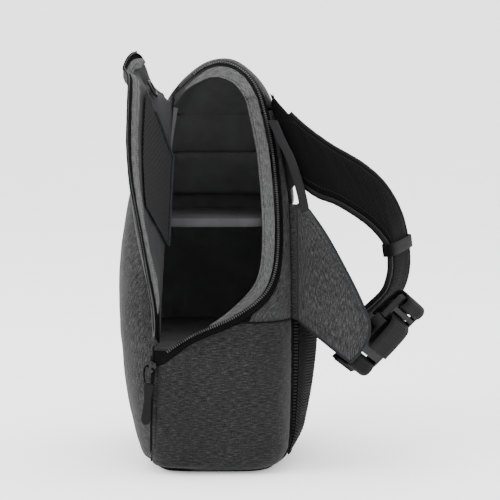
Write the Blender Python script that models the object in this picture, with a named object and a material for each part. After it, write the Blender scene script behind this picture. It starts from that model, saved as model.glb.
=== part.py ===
"""A side-access camera sling bag, standing on its base with the side flap swung open.

Frame: +Z up, the base rests on Z = 0, -X is the bag's front, +X the back that lies on
the wearer, and -Y the near side that opens. Sizes are in millimetres until a mesh is made.
"""

import math
from bisect import bisect_right

import bmesh
import bpy
import numpy as np
from mathutils import Matrix, Vector

MM = 0.001

# Driving dimensions of the bag
HEIGHT = 389.0
APEX_X = 6.0
BASE_ROUND = 18.0
GAP = 0.4
HINGE_FOOT = (-58.0, 110.0)  # x and z of the lower end of the flap's straight hinge seam
HINGE_HEAD = (-41.0, -31.0, 353.0)
FLAP_OPEN_DEG = 116.0

# Thicknesses: outer fabric, foam and lining, as depths below the outer skin
OUTER = (0.0, 1.2)
FOAM = (1.7, 6.0)
LINING = (7.0, 8.0)
FLAP_FOAM = (1.7, 2.9)
FLAP_LINING = (7.7, 8.5)
POCKET = (9.6, 10.4)
CELL_INSET = 9.4

# Zip and rim
TAPE_WIDTH = 8.6
TAPE_THICK = 0.8
COIL_RADIUS = 0.9
FACING_WIDTH = 11.0

# Padding and harness
WING_THICK = 8.0
STRAP_THICK = 7.0
WEBBING_WIDTH = 38.0
WEBBING_THICK = 1.6

# Buckle, in its own frame: L runs down its length, W across and T through it
BUCKLE_HEAD = Vector((185.0, -76.0, 157.0))
BUCKLE_TILT_DEG = 50.0
BUCKLE_WIDTH = 47.0
SOCKET_START = 25.0
SOCKET_END = 78.0
SOCKET_THICK = 13.0
PLUG_THICK = 8.0


# ---------------------------------------------------------------- curves and the skin


def curve_through(keys):
    """A smooth function of one number through its (number, value) keys."""
    at = [key[0] for key in keys]
    value = [key[1] for key in keys]
    slope = []
    for i in range(len(keys)):
        low, high = max(i - 1, 0), min(i + 1, len(keys) - 1)
        slope.append((value[high] - value[low]) / (at[high] - at[low]))

    def smooth(x):
        x = min(max(x, at[0]), at[-1])
        i = min(max(bisect_right(at, x) - 1, 0), len(at) - 2)
        span = at[i + 1] - at[i]
        t = (x - at[i]) / span
        return (
            (1 + 2 * t) * (1 - t) ** 2 * value[i]
            + t * (1 - t) ** 2 * span * slope[i]
            + t * t * (3 - 2 * t) * value[i + 1]
            + t * t * (t - 1) * span * slope[i + 1]
        )

    return smooth


def smooth_path(points, count):
    """count points, evenly spaced along a smooth curve through the given ones."""
    points = np.array(points, float)
    steps = np.linalg.norm(np.diff(points, axis=0), axis=1)
    along = np.concatenate([[0.0], np.cumsum(steps)])
    columns = [curve_through(list(zip(along, column))) for column in points.T]
    fine = np.linspace(0, along[-1], 400)
    dense = np.array([[column(s) for column in columns] for s in fine])
    steps = np.linalg.norm(np.diff(dense, axis=0), axis=1)
    length = np.concatenate([[0.0], np.cumsum(steps)])
    wanted = np.linspace(0, length[-1], count)
    return np.array([np.interp(wanted, length, column) for column in dense.T]).T


def closing(z, start, power):
    """1 below start, falling to 0 at the crown as a rounded arch."""
    if z <= start:
        return 1.0
    t = min((z - start) / (HEIGHT - start), 1.0)
    return max(1 - t**power, 0.0) ** (1 / power)


front_line = curve_through(
    [(0, -66), (45, -79), (110, -89), (170, -92), (230, -88), (290, -73), (345, -50), (387, -34)]
)
back_line = curve_through(
    [(0, 66), (27, 74), (143, 77), (207, 76.5), (256, 74), (300, 65.5), (344, 54.5), (387, 35)]
)
far_line = curve_through(
    [(0, 108), (45, 115), (110, 116), (170, 111), (230, 99), (290, 81), (345, 58), (387, 45)]
)
near_low_line = curve_through([(0, 108), (45, 116), (85, 118.5), (110, 115.4)])
boxiness = curve_through([(0, 4.6), (110, 4.4), (230, 4.0), (353, 3.2), (387, 2.6)])


def outline(z):
    """Centre, half depth and boxiness of the horizontal section at z."""
    inset = 0.0
    if z < BASE_ROUND:
        inset = BASE_ROUND - math.sqrt(BASE_ROUND**2 - (BASE_ROUND - z) ** 2)
    front = APEX_X + (front_line(z) - APEX_X) * closing(z, 338, 2.0) + inset
    back = APEX_X + (back_line(z) - APEX_X) * closing(z, 352, 2.4) - inset
    return (front + back) / 2, max((back - front) / 2, 0.5), boxiness(z), inset


def fullness(x, z):
    """Share of the half width that the section at z reaches at this x."""
    centre, half, power, _ = outline(z)
    across = min(abs((x - centre) / half), 0.9999)
    return (1 - across**power) ** (1 / power)


SEAM_FOOT = np.array(
    [
        HINGE_FOOT[0],
        -near_low_line(HINGE_FOOT[1]) * fullness(*HINGE_FOOT),
        HINGE_FOOT[1],
    ]
)
SEAM_HEAD = np.array(HINGE_HEAD)
HINGE_AXIS = (SEAM_HEAD - SEAM_FOOT) / np.linalg.norm(SEAM_HEAD - SEAM_FOOT)


def seam_at(z):
    """The flap's hinge seam: a straight line from its foot to its head."""
    return SEAM_FOOT + (SEAM_HEAD - SEAM_FOOT) * (z - SEAM_FOOT[2]) / (SEAM_HEAD[2] - SEAM_FOOT[2])


def near_width(z):
    """Half width on the near side, which keeps the hinge seam straight on the skin."""
    if z <= SEAM_FOOT[2]:
        return near_low_line(z) - outline(z)[3]
    if z <= SEAM_HEAD[2]:
        x, y, _ = seam_at(z)
        return -y / fullness(x, z)
    x, y, _ = SEAM_HEAD
    return -y / fullness(x, SEAM_HEAD[2]) * closing(z, SEAM_HEAD[2] - 6, 2.6)


def far_width(z):
    return far_line(z) * closing(z, 345, 2.2) - outline(z)[3]


def reach(x, y, z):
    """1 on the skin, less inside it."""
    z = min(max(z, 0.0), HEIGHT - 0.05)
    centre, half, power, _ = outline(z)
    width = max(near_width(z) if y < 0 else far_width(z), 0.5)
    return (abs((x - centre) / half) ** power + abs(y / width) ** power) ** (1 / power)


def skin_normal(point):
    step = 0.4
    gradient = np.zeros(3)
    for axis in range(3):
        ahead, behind = np.array(point, float), np.array(point, float)
        ahead[axis] += step
        behind[axis] -= step
        gradient[axis] = reach(*ahead) - reach(*behind)
    if point[2] < 1.0:
        gradient[2] = 0.0
    return gradient / max(np.linalg.norm(gradient), 1e-9)


def at_angle(degrees, z):
    """The skin point at a compass angle: 0 back, 90 far side, 180 front, 270 near side."""
    centre, half, power, _ = outline(z)
    turn = math.radians(degrees)
    width = near_width(z) if math.sin(turn) < 0 else far_width(z)
    spread = abs(math.cos(turn) / half) ** power + abs(math.sin(turn) / width) ** power
    radius = spread ** (-1 / power)
    return np.array([centre + radius * math.cos(turn), radius * math.sin(turn), z])


def near_side(x, z):
    """The skin point of the near side at this x and z."""
    return np.array([x, -near_width(z) * fullness(x, z), z])


def near_angle(x, z):
    _, y, _ = near_side(x, z)
    return math.degrees(math.atan2(y, x - outline(z)[0])) % 360


def cast(direction, start):
    """Where a ray from a point inside meets the skin."""
    direction = direction / np.linalg.norm(direction)
    inside, outside = 0.0, 500.0
    for _ in range(40):
        middle = (inside + outside) / 2
        point = start + direction * middle
        if point[2] < HEIGHT and reach(*point) < 1:
            inside = middle
        else:
            outside = middle
    return start + direction * inside


def settle(point):
    """The skin point nearest to one that is close to the skin."""
    point = np.array(point, float)
    for _ in range(6):
        value = reach(*point)
        normal = skin_normal(point)
        slope = (reach(*(point + normal * 0.4)) - reach(*(point - normal * 0.4))) / 0.8
        point = point - normal * np.clip((value - 1) / max(slope, 1e-4), -4, 4)
        point[2] = min(point[2], HEIGHT - 0.3)
    return point


# ---------------------------------------------------------------- the seams

SEAM_GAP_DEG = 0.6


def near_front(z):
    """Angle of the seam between the front panel and the near side."""
    if z < SEAM_FOOT[2]:
        return near_angle(HINGE_FOOT[0] - 0.03 * (SEAM_FOOT[2] - z), z)
    return near_angle(seam_at(min(z, SEAM_HEAD[2]))[0], min(z, SEAM_HEAD[2]))


back_seam_share = curve_through([(0, 0.955), (240, 0.955), (300, 0.975), (345, 0.994)])


def near_back(z):
    """Angle of the seam between the near side and the back panel."""
    centre, half, _, _ = outline(z)
    return near_angle(centre + half * back_seam_share(z), z)


def far_back(z):
    return 360 - near_back(z)


def far_front(z):
    return 180 - (near_front(max(z, 30)) - 180) * 0.9


# The opening's rim on the near side, as x and z, from the hinge seam's foot to its head
RIM_KEYS = [
    (-58, 110), (-25, 132), (22, 153), (49, 176), (57.5, 212), (54, 290),
    (46, 334), (37, 362), (25, 377), (8, 384.5), (-7, 382), (-20, 373.5), (-31, 363), (-41, 353),
]  # fmt: skip
RIM_COUNT = 61
RIM = np.array([near_side(x, z) for x, z in smooth_path(RIM_KEYS, RIM_COUNT)])


def rim_frame(index):
    """Point, outward normal and the in-skin direction into the opening."""
    ahead = RIM[min(index + 1, RIM_COUNT - 1)]
    behind = RIM[max(index - 1, 0)]
    tangent = (ahead - behind) / np.linalg.norm(ahead - behind)
    normal = skin_normal(RIM[index])
    side = np.cross(normal, tangent)
    return RIM[index], normal, side / np.linalg.norm(side)


def rim_offset(index, distance):
    """The skin point this far from the rim, towards the opening when positive."""
    point, _, side = rim_frame(index)
    for _ in range(3):
        point = settle(point + side * distance / 3)
    return point


# ---------------------------------------------------------------- objects and materials


def clear_scene():
    for thing in list(bpy.data.objects):
        bpy.data.objects.remove(thing)


def material(name, color, roughness, metallic=0.0):
    made = bpy.data.materials.new(name)
    made.use_nodes = True
    shader = made.node_tree.nodes["Principled BSDF"]
    shader.inputs["Base Color"].default_value = (*color, 1)
    shader.inputs["Roughness"].default_value = roughness
    shader.inputs["Metallic"].default_value = metallic
    return made


def pivot(name, origin, parent=None):
    empty = bpy.data.objects.new(name, None)
    bpy.context.scene.collection.objects.link(empty)
    world = [float(value) for value in origin]
    if parent is not None:
        empty.parent = parent
        origin = np.array(origin) - np.array(parent["at_mm"])
    empty.location = Vector(origin) * MM
    empty["at_mm"] = world
    return empty


def add_object(name, points, faces, look, parent=None):
    """A named object from points in millimetres, in its pivot's frame when it has one."""
    start = np.array(parent["at_mm"]) if parent is not None else np.zeros(3)
    mesh = bpy.data.meshes.new(name)
    mesh.from_pydata([tuple((np.array(p) - start) * MM) for p in points], [], faces)
    work = bmesh.new()
    work.from_mesh(mesh)
    bmesh.ops.recalc_face_normals(work, faces=work.faces[:])
    work.to_mesh(mesh)
    work.free()
    mesh.shade_smooth()
    mesh.set_sharp_from_angle(angle=math.radians(40))
    made = bpy.data.objects.new(name, mesh)
    made.data.materials.append(look)
    made.parent = parent
    bpy.context.scene.collection.objects.link(made)
    return made


def sheet_between(name, outer, inner, look, parent=None):
    """A closed solid between two grids of points."""
    outer, inner = np.array(outer), np.array(inner)
    rows, columns = outer.shape[:2]
    count = rows * columns

    def index(i, j, back=False):
        return i * columns + j + (count if back else 0)

    faces = []
    for i in range(rows - 1):
        for j in range(columns - 1):
            faces.append([index(i, j), index(i + 1, j), index(i + 1, j + 1), index(i, j + 1)])
            faces.append(
                [index(i, j, True), index(i, j + 1, True), index(i + 1, j + 1, True), index(i + 1, j, True)]
            )
    edge = [(i, 0) for i in range(rows)]
    edge += [(rows - 1, j) for j in range(1, columns)]
    edge += [(i, columns - 1) for i in range(rows - 2, -1, -1)]
    edge += [(0, j) for j in range(columns - 2, 0, -1)]
    for here, there in zip(edge, edge[1:] + edge[:1]):
        faces.append([index(*here), index(*there), index(*there, True), index(*here, True)])
    points = list(outer.reshape(-1, 3)) + list(inner.reshape(-1, 3))
    return add_object(name, points, faces, look, parent)


def skin_layer(name, grid, depths, look, parent=None):
    """A layer of the bag's wall: the grid lies on the skin, the layer between two depths."""
    normals = np.array([[skin_normal(point) for point in row] for row in grid])
    grid = np.array(grid)
    outer = grid - normals * depths[0]
    inner = grid - normals * depths[1]
    # Material near the ground stays above the base panel
    for layer, depth in ((outer, depths[0]), (inner, depths[1])):
        layer[..., 2] = np.maximum(layer[..., 2], min(depth, 0.9 * BASE_ROUND) * (grid[..., 2] < 6))
    return sheet_between(name, outer, inner, look, parent)


def sheet_normals(grid):
    grid = np.array(grid)
    along, across = np.gradient(grid, axis=0), np.gradient(grid, axis=1)
    normals = np.cross(along, across)
    return normals / np.linalg.norm(normals, axis=2, keepdims=True)


def pad(name, grid, thickness, look, parent=None):
    """A pad of even thickness about a grid of points."""
    half = sheet_normals(grid) * thickness / 2
    return sheet_between(name, np.array(grid) + half, np.array(grid) - half, look, parent)


def tube_of_rings(name, rings, look, parent=None):
    """A closed solid through rings with the same number of points."""
    sides = len(rings[0])
    faces = []
    for i in range(len(rings) - 1):
        for j in range(sides):
            k = (j + 1) % sides
            faces.append([i * sides + j, i * sides + k, (i + 1) * sides + k, (i + 1) * sides + j])
    faces.append(list(range(sides))[::-1])
    faces.append([(len(rings) - 1) * sides + j for j in range(sides)])
    return add_object(name, [point for ring in rings for point in ring], faces, look, parent)


def hold_off_seam(point, margin=2.0):
    """The skin point, moved back to the flap's side of the hinge seam if it is past it."""
    limit = seam_at(min(max(point[2], SEAM_FOOT[2]), SEAM_HEAD[2]))[0] + margin
    return point if point[0] >= limit else near_side(limit, point[2])


def rim_strip(name, section, first, last, look, parent=None):
    """A section of (distance from the rim, depth) corners, swept along part of the rim."""
    rings = []
    for index in range(first, last + 1):
        ring = []
        for distance, depth in section:
            point = rim_offset(index, distance)
            if parent is not None:
                point = hold_off_seam(point, 2.0 + 0.02 * (20 - distance))
            ring.append(point - skin_normal(point) * depth)
        rings.append(ring)
    return tube_of_rings(name, rings, look, parent)


def round_tube(name, path, radius, look, parent=None, sides=8):
    """A tube of one radius along a path."""
    path = np.array(path, float)
    tangents = np.gradient(path, axis=0)
    up = np.array([0.0, 1.0, 0.0])
    rings = []
    for point, tangent in zip(path, tangents):
        tangent = tangent / np.linalg.norm(tangent)
        side = np.cross(tangent, up)
        side = side / np.linalg.norm(side)
        lift = np.cross(side, tangent)
        turns = [2 * math.pi * k / sides for k in range(sides)]
        rings.append([point + radius * (math.cos(t) * side + math.sin(t) * lift) for t in turns])
    return tube_of_rings(name, rings, look, parent)


def ribbon(name, one_edge, other_edge, thickness, look, parent=None):
    """A flat band with rounded edges between two edge curves."""
    one_edge, other_edge = np.array(one_edge), np.array(other_edge)
    rings = []
    tangents = np.gradient((one_edge + other_edge) / 2, axis=0)
    for a, b, tangent in zip(one_edge, other_edge, tangents):
        across = b - a
        width = np.linalg.norm(across)
        across = across / width
        normal = np.cross(tangent / np.linalg.norm(tangent), across)
        normal = normal / np.linalg.norm(normal) * thickness / 2
        rounding = min(thickness / 2, width / 4)
        inner_a, inner_b = a + across * rounding, b - across * rounding
        rings.append(
            [
                a - normal * 0.4,
                a + normal * 0.4,
                inner_a + normal,
                inner_b + normal,
                b + normal * 0.4,
                b - normal * 0.4,
                inner_b - normal,
                inner_a - normal,
            ]
        )
    return tube_of_rings(name, rings, look, parent)


def prism(name, corners, low, high, frame, look, parent=None, bevel=0.0):
    """A flat outline of (L, W) corners between two T values of a local frame."""
    origin, along, across, through = frame
    points = [origin + along * a + across * w + through * low for a, w in corners]
    points += [origin + along * a + across * w + through * high for a, w in corners]
    count = len(corners)
    faces = [list(range(count))[::-1], list(range(count, 2 * count))]
    for i in range(count):
        j = (i + 1) % count
        faces.append([i, j, count + j, count + i])
    made = add_object(name, points, faces, look, parent)
    if bevel:
        soften(made, bevel)
    return made


def soften(thing, width):
    bevel = thing.modifiers.new("soft_edges", "BEVEL")
    bevel.width = width * MM
    bevel.segments = 2
    bevel.limit_method = "ANGLE"
    bevel.angle_limit = math.radians(50)


def cut(thing, cutter):
    cutter.hide_render = True
    cutter.display_type = "WIRE"
    hole = thing.modifiers.new(cutter.name, "BOOLEAN")
    hole.operation = "DIFFERENCE"
    hole.solver = "EXACT"
    hole.object = cutter


def block(low_a, high_a, low_w, high_w):
    return [(low_a, low_w), (high_a, low_w), (high_a, high_w), (low_a, high_w)]


# ---------------------------------------------------------------- grids on the skin


def wrap_grid(left, right, bottom, top, columns, rows, crowding=1.5):
    """Skin points between two seams (angles that depend on z) and two heights."""
    grid = []
    for i in range(columns):
        share = i / (columns - 1)
        grid.append([])
        for j in range(rows):
            z = bottom
            for _ in range(6):
                low, high = left(z) + SEAM_GAP_DEG, right(z) - SEAM_GAP_DEG
                angle = low + (high - low) * share
                ceiling = top(at_angle(angle, z)[0]) if callable(top) else top
                z = bottom + (ceiling - bottom) * (j / (rows - 1)) ** crowding
            grid[-1].append(at_angle(angle, z))
    return grid


def shrink(grid, share):
    """The grid's middle part, with its edges moved in by this share of its size."""
    grid = np.array(grid)
    rows, columns = grid.shape[:2]
    i = np.linspace(share, 1 - share, rows) * (rows - 1)
    j = np.linspace(share, 1 - share, columns) * (columns - 1)
    by_row = np.array([[np.interp(i, range(rows), grid[:, c, k]) for k in range(3)] for c in range(columns)])
    by_row = by_row.transpose(2, 0, 1)
    both = np.array([[np.interp(j, range(columns), by_row[r, :, k]) for k in range(3)] for r in range(rows)])
    return both.transpose(0, 2, 1)


def section_ring(z, inset, count=28):
    """The section at z, moved in from the skin."""
    ring = []
    for k in range(count):
        point = at_angle(360 * k / count, z)
        normal = skin_normal(point)
        flat = np.array([normal[0], normal[1], 0.0])
        ring.append(point - flat / np.linalg.norm(flat) * inset)
    return ring


# ---------------------------------------------------------------- the bag's body

PANEL_TOP = 344.0
BACK_TOP = 340.0
FAR_TOP = 336.0
REAR_STRIP_FOOT = 144.0


def leg_height(x):
    """Top of the lower near panel: just under the zip tape, then the cross seam."""
    foot = [(p[0], p[2]) for p in OUTER_RIM[:18]]
    return min(float(np.interp(x, *zip(*foot))) - GAP, REAR_STRIP_FOOT)


OUTER_RIM = np.array([rim_offset(i, -TAPE_WIDTH - 0.7) for i in range(RIM_COUNT)])


def rear_strip_grid(columns=4, rows=14):
    """Between the zip tape and the back seam, from the cross seam up to the crown."""
    side = [p for p in OUTER_RIM[14:44] if p[2] > REAR_STRIP_FOOT - 4 and p[0] > 20]
    heights = [p[2] for p in side]
    starts = [p[0] for p in side]
    grid = []
    for i in range(columns):
        share = i / (columns - 1)
        grid.append([])
        for j in range(rows):
            z = REAR_STRIP_FOOT + 0.6 + (BACK_TOP - REAR_STRIP_FOOT - 0.6) * j / (rows - 1)
            left = near_angle(float(np.interp(z, heights, starts)) + 2 * GAP, z)
            right = near_back(z) - SEAM_GAP_DEG
            grid[-1].append(at_angle(left + (right - left) * share, z))
    return grid


def crown_grid(columns=9, rows=12):
    """Over the top, from the zip tape round the crown to the tops of the other panels."""
    centre = np.array([4.0, 0.0, 318.0])
    first = next(i for i in range(30, RIM_COUNT) if RIM[i][2] > BACK_TOP + 5)
    near = smooth_path([OUTER_RIM[i] for i in range(first, RIM_COUNT - 1)], rows)
    collar = curve_through(
        [(-30, BACK_TOP), (35, BACK_TOP), (60, FAR_TOP), (125, FAR_TOP), (155, PANEL_TOP), (220, PANEL_TOP)]
    )
    low, high = near_back(BACK_TOP) - 360, near_front(PANEL_TOP) - 1
    angles = [low + (high - low) * j / (rows - 1) for j in range(rows)]
    far = [at_angle(angle, collar(angle) + 1.8) for angle in angles]
    grid = []
    for i in range(columns):
        share = i / (columns - 1)
        row = []
        for j in range(rows):
            toward = near[j] * (1 - share) + far[j] * share - centre
            row.append(cast(toward, centre))
        grid.append(row)
    return grid


def make_body(look):
    nylon, dark, foam, lining = look["heather"], look["dark_fabric"], look["foam"], look["lining"]
    walls = {
        "front": wrap_grid(far_front, near_front, 2.0, PANEL_TOP, 16, 14),
        "far_side": wrap_grid(far_back, far_front, 2.0, FAR_TOP, 9, 13),
        "back": wrap_grid(lambda z: near_back(z) - 360, far_back, 2.0, BACK_TOP, 9, 12),
        "near_lower": wrap_grid(near_front, near_back, 2.0, leg_height, 12, 8),
    }
    for name, grid in walls.items():
        outer_look = dark if name == "back" else nylon
        skin_layer(name + "_panel", grid, OUTER, outer_look)
        inner = shrink(np.array(grid)[:, 1:], 0.012)
        skin_layer(name + "_foam", inner, FOAM, foam)
        skin_layer(name + "_lining", inner, LINING, lining)
    skin_layer("near_rear_strip", rear_strip_grid(), OUTER, nylon)
    crown = crown_grid()
    skin_layer("crown_panel", crown, OUTER, nylon)
    skin_layer("crown_lining", shrink(crown, 0.08), LINING, lining)
    make_base(look)
    make_back(look)
    make_rim(look)
    make_cells(look)
    make_front_tab(look)


def make_base(look):
    """The flat base panel and the stiffener board that lies on it."""
    rings = [section_ring(0.0, 0.6), section_ring(0.0, 0.6)]
    rings[1] = [point + np.array([0, 0, 1.6]) for point in rings[1]]
    tube_of_rings("base_panel", rings, look["dark_fabric"])
    low = [point + np.array([0, 0, 2.2]) for point in section_ring(0.0, 4.0)]
    high = [point + np.array([0, 0, 5.2]) for point in section_ring(0.0, 4.0)]
    tube_of_rings("base_board", [low, high], look["board"])


def make_back(look):
    """The ribbed air-mesh pad and the smooth yoke on the back panel."""
    swell = curve_through([(14, 2.5), (34, 9), (58, 13), (106, 19), (140, 20), (195, 13), (236, 2.5)])
    outer, inner = [], []
    for i in range(11):
        share = i / 10
        outer.append([])
        inner.append([])
        for j in range(13):
            z = 14 + (236 - 14) * j / 12
            low = -0.72 * (360 - near_back(z))
            point = at_angle(low + (0.80 * far_back(z) - low) * share, z)
            normal = skin_normal(point)
            edge = min(1.0, 6 * share, 6 * (1 - share)) ** 0.5
            outer[-1].append(point + normal * (1.6 + swell(z) * (0.25 + 0.75 * edge)))
            inner[-1].append(point + normal * 1.0)
    sheet_between("back_mesh_pad", outer, inner, look["mesh"])
    grid = []
    for i in range(7):
        grid.append([])
        for j in range(6):
            z = 250 + (338 - 250) * j / 5
            low = -0.9 * (360 - near_back(z))
            grid[-1].append(at_angle(low + (0.9 * far_back(z) - low) * i / 6, z))
    skin_layer("back_yoke", grid, (-1.6, -0.4), look["dark_fabric"])


def make_rim(look):
    """The body's half of the zip and the pale facing inside the rim."""
    tape = [(-TAPE_WIDTH, 0.0), (-0.4, 0.0), (-0.4, TAPE_THICK), (-TAPE_WIDTH, TAPE_THICK)]
    rim_strip("rim_zip_tape", tape, 1, RIM_COUNT - 2, look["tape"])
    depth = TAPE_THICK + GAP + COIL_RADIUS + 0.3
    coil = [
        (-1.5 + COIL_RADIUS * math.cos(t), depth + COIL_RADIUS * math.sin(t))
        for t in [math.pi * k / 3 for k in range(6)]
    ]
    rim_strip("rim_zip_coil", coil, 2, RIM_COUNT - 3, look["coil"])
    facing = [(0.2, 8.2), (FACING_WIDTH, 10.2), (FACING_WIDTH, 11.2), (0.2, 9.4)]
    rim_strip("rim_facing", facing, 13, RIM_COUNT - 4, look["pale"])


FLOOR_TOP = 120.0
SHELF_LOW = 229.0
SHELF_THICK = 8.0
SHELF_SLIDE = 12.0


def make_cells(look):
    """The padded floor, the lens shelf on its slide, and the wall round the lens cell."""
    low, high = section_ring(FLOOR_TOP - 8, CELL_INSET + 1), section_ring(FLOOR_TOP, CELL_INSET + 1)
    low, high = clear_of_hinge(low, 6), clear_of_hinge(high, 6)
    tube_of_rings("divider_floor", [low, high], look["lining"])
    shelf_pivot = pivot("lens_shelf_pivot", (0, 0, SHELF_LOW))
    ring = clear_of_hinge(section_ring(SHELF_LOW + SHELF_THICK + SHELF_SLIDE, CELL_INSET + 8.5), 8)
    low = [np.array([p[0], p[1], SHELF_LOW]) for p in ring]
    high = [np.array([p[0], p[1], SHELF_LOW + SHELF_THICK]) for p in ring]
    tube_of_rings("lens_shelf", [low, high], look["lining"], shelf_pivot)
    grid = []
    for i in range(14):
        grid.append([])
        for j in range(5):
            z = SHELF_LOW + SHELF_THICK + SHELF_SLIDE + 7 + 44 * j / 4
            low, high = -26, near_front(z) - 16
            grid[-1].append(at_angle(low + (high - low) * i / 13, z))
    skin_layer("lens_cell_wall", grid, (CELL_INSET + 2.5, CELL_INSET + 7.5), look["lining"])


def clear_of_hinge(ring, distance):
    """The ring's points, moved back from the near side so that the closed flap has room."""
    moved = []
    for point in ring:
        limit = -near_width(point[2]) + CELL_INSET + distance
        moved.append(np.array([point[0], max(point[1], limit), point[2]]))
    return moved


def make_front_tab(look):
    """The folded webbing tab low on the front."""
    path = [at_angle(196, z) + np.array([-1, 0, 0]) * 1.4 for z in (26, 30, 34, 38, 42, 46)]
    rings = []
    for point in path:
        rings.append(
            [
                point + np.array([0.9, -7, 0]),
                point + np.array([-1.3, -7, 0]),
                point + np.array([-1.3, 7, 0]),
                point + np.array([0.9, 7, 0]),
            ]
        )
    shift = np.array([-1.2, 0, 0])
    rings = [[corner + shift for corner in ring] for ring in rings]
    tube_of_rings("front_tab", rings, look["webbing"])


# ---------------------------------------------------------------- the flap


def flap_boundary(distance, count):
    """Matching points on the hinge side and on the rim side of the flap, closed."""
    rim = np.array([rim_offset(i, distance) for i in range(1, RIM_COUNT)])
    rim = np.array([p for p in rim if p[0] > seam_at(min(p[2], SEAM_HEAD[2]))[0] + 4])
    rim = smooth_path(rim, count)
    hinge = []
    for k in range(count):
        share = 0.05 + 0.915 * k / (count - 1)
        hinge.append(SEAM_FOOT + (SEAM_HEAD - SEAM_FOOT) * share + np.array([1.4, 0, 0]))
    return hinge, rim


def flap_grid(distance, rows=16, columns=8, low=0.0, high=1.0):
    """Skin points of the closed flap, from its hinge side to its rim side."""
    hinge, rim = flap_boundary(distance, rows)
    grid = []
    for start, end in zip(hinge, rim):
        row = []
        for j in range(columns):
            share = low + (high - low) * j / (columns - 1)
            x = start[0] + (end[0] - start[0]) * share
            z = start[2] + (end[2] - start[2]) * share
            row.append(near_side(x, z))
        grid.append(row)
    return grid


def make_flap(look):
    """The flap is shaped closed, on the skin, and its pivot swings it open."""
    hinge = pivot("flap_pivot", SEAM_FOOT)
    outer = flap_grid(TAPE_WIDTH + 1.2)
    skin_layer("flap_outer", outer, OUTER, look["heather"], hinge)
    skin_layer("flap_foam", flap_grid(TAPE_WIDTH + 1.6), FLAP_FOAM, look["foam"], hinge)
    skin_layer("flap_lining", flap_grid(24.0), FLAP_LINING, look["lining"], hinge)
    tape = [(0.4, 0.0), (TAPE_WIDTH, 0.0), (TAPE_WIDTH, TAPE_THICK), (0.4, TAPE_THICK)]
    rim_strip("flap_zip_tape", tape, 2, RIM_COUNT - 4, look["tape"], hinge)
    depth = TAPE_THICK + GAP + COIL_RADIUS + 0.3
    coil = [
        (1.5 + COIL_RADIUS * math.cos(t), depth + COIL_RADIUS * math.sin(t))
        for t in [math.pi * k / 3 for k in range(6)]
    ]
    rim_strip("flap_zip_coil", coil, 4, RIM_COUNT - 5, look["coil"], hinge)
    facing = [(9.6, 6.6), (20.0, 6.9), (20.0, 7.8), (9.6, 7.5)]
    rim_strip("flap_facing", facing, 5, RIM_COUNT - 7, look["pale"], hinge)
    pocket = np.array(flap_grid(22, rows=24, columns=8, low=0.10, high=0.88))[9:18]
    skin_layer("flap_mesh_pocket", pocket, POCKET, look["mesh"], hinge)
    mouth = [row[0] for row in pocket] + [pocket[-1][j] for j in range(1, 6)]
    mouth = [p - skin_normal(p) * 12.2 for p in mouth]
    round_tube("pocket_binding", smooth_path(mouth, 20), 1.2, look["binding"], hinge, sides=6)
    make_eyelet(look, hinge)
    bpy.context.view_layer.update()
    axis = Vector(HINGE_AXIS)
    hinge.rotation_mode = "QUATERNION"
    hinge.rotation_quaternion = Matrix.Rotation(-math.radians(FLAP_OPEN_DEG), 3, axis).to_quaternion()


def make_eyelet(look, parent):
    """An oval ring with a hole, on the flap's lining near its top."""
    middle = near_side(-2, 345)
    normal = skin_normal(middle)
    up = HINGE_AXIS - normal * float(np.dot(HINGE_AXIS, normal))
    up = up / np.linalg.norm(up)
    side = np.cross(up, normal)
    middle = middle - normal * 10.9
    sides, small = 24, 6
    points, faces = [], []
    for k in range(sides):
        turn = 2 * math.pi * k / sides
        radial = up * math.cos(turn) * 8.0 + side * math.sin(turn) * 4.2
        outward = radial / np.linalg.norm(radial)
        for m in range(small):
            bend = 2 * math.pi * m / small
            points.append(middle + radial + outward * 1.5 * math.cos(bend) + normal * 1.2 * math.sin(bend))
    for k in range(sides):
        for m in range(small):
            a, b = k * small + m, k * small + (m + 1) % small
            c, d = ((k + 1) % sides) * small + (m + 1) % small, ((k + 1) % sides) * small + m
            faces.append([a, b, c, d])
    add_object("cable_port_eyelet", points, faces, look["metal"], parent)


# ---------------------------------------------------------------- the zip's slider and pull

SLIDER_AT = (-60.0, 104.0)  # x and z on the near side


def make_slider(look):
    """The slider rides just outside the tapes; the pull hangs from its bridge."""
    skin = near_side(*SLIDER_AT)
    origin = Vector(skin + np.array([0, -1.9, 0]))
    slider_pivot = pivot("zip_slider_pivot", origin)
    along = Vector((0.5, 0, 0.866))
    across = Vector((0.866, 0, -0.5))
    through = Vector((0, -1, 0))
    frame = (origin, along, across, through)
    body = [(-6, -3.2), (-2, -4.6), (3, -5), (6, -3), (6, 3), (3, 5), (-2, 4.6), (-6, 3.2)]
    slider = prism("zip_slider", body, 0, 3.0, frame, look["metal"], slider_pivot)
    bridge = prism("slider_bridge_shape", block(-4.5, 4.5, -1.4, 1.4), 2.0, 7.0, frame, look["metal"])
    opening = prism("slider_bridge_hole", block(-2.6, 2.6, -3, 3), 3.4, 5.6, frame, look["metal"])
    cut(bridge, opening)
    bridge.hide_render = True
    bridge.display_type = "WIRE"
    join = slider.modifiers.new("bridge", "BOOLEAN")
    join.operation = "UNION"
    join.solver = "EXACT"
    join.object = bridge
    make_pull(look, origin, slider_pivot)


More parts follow.
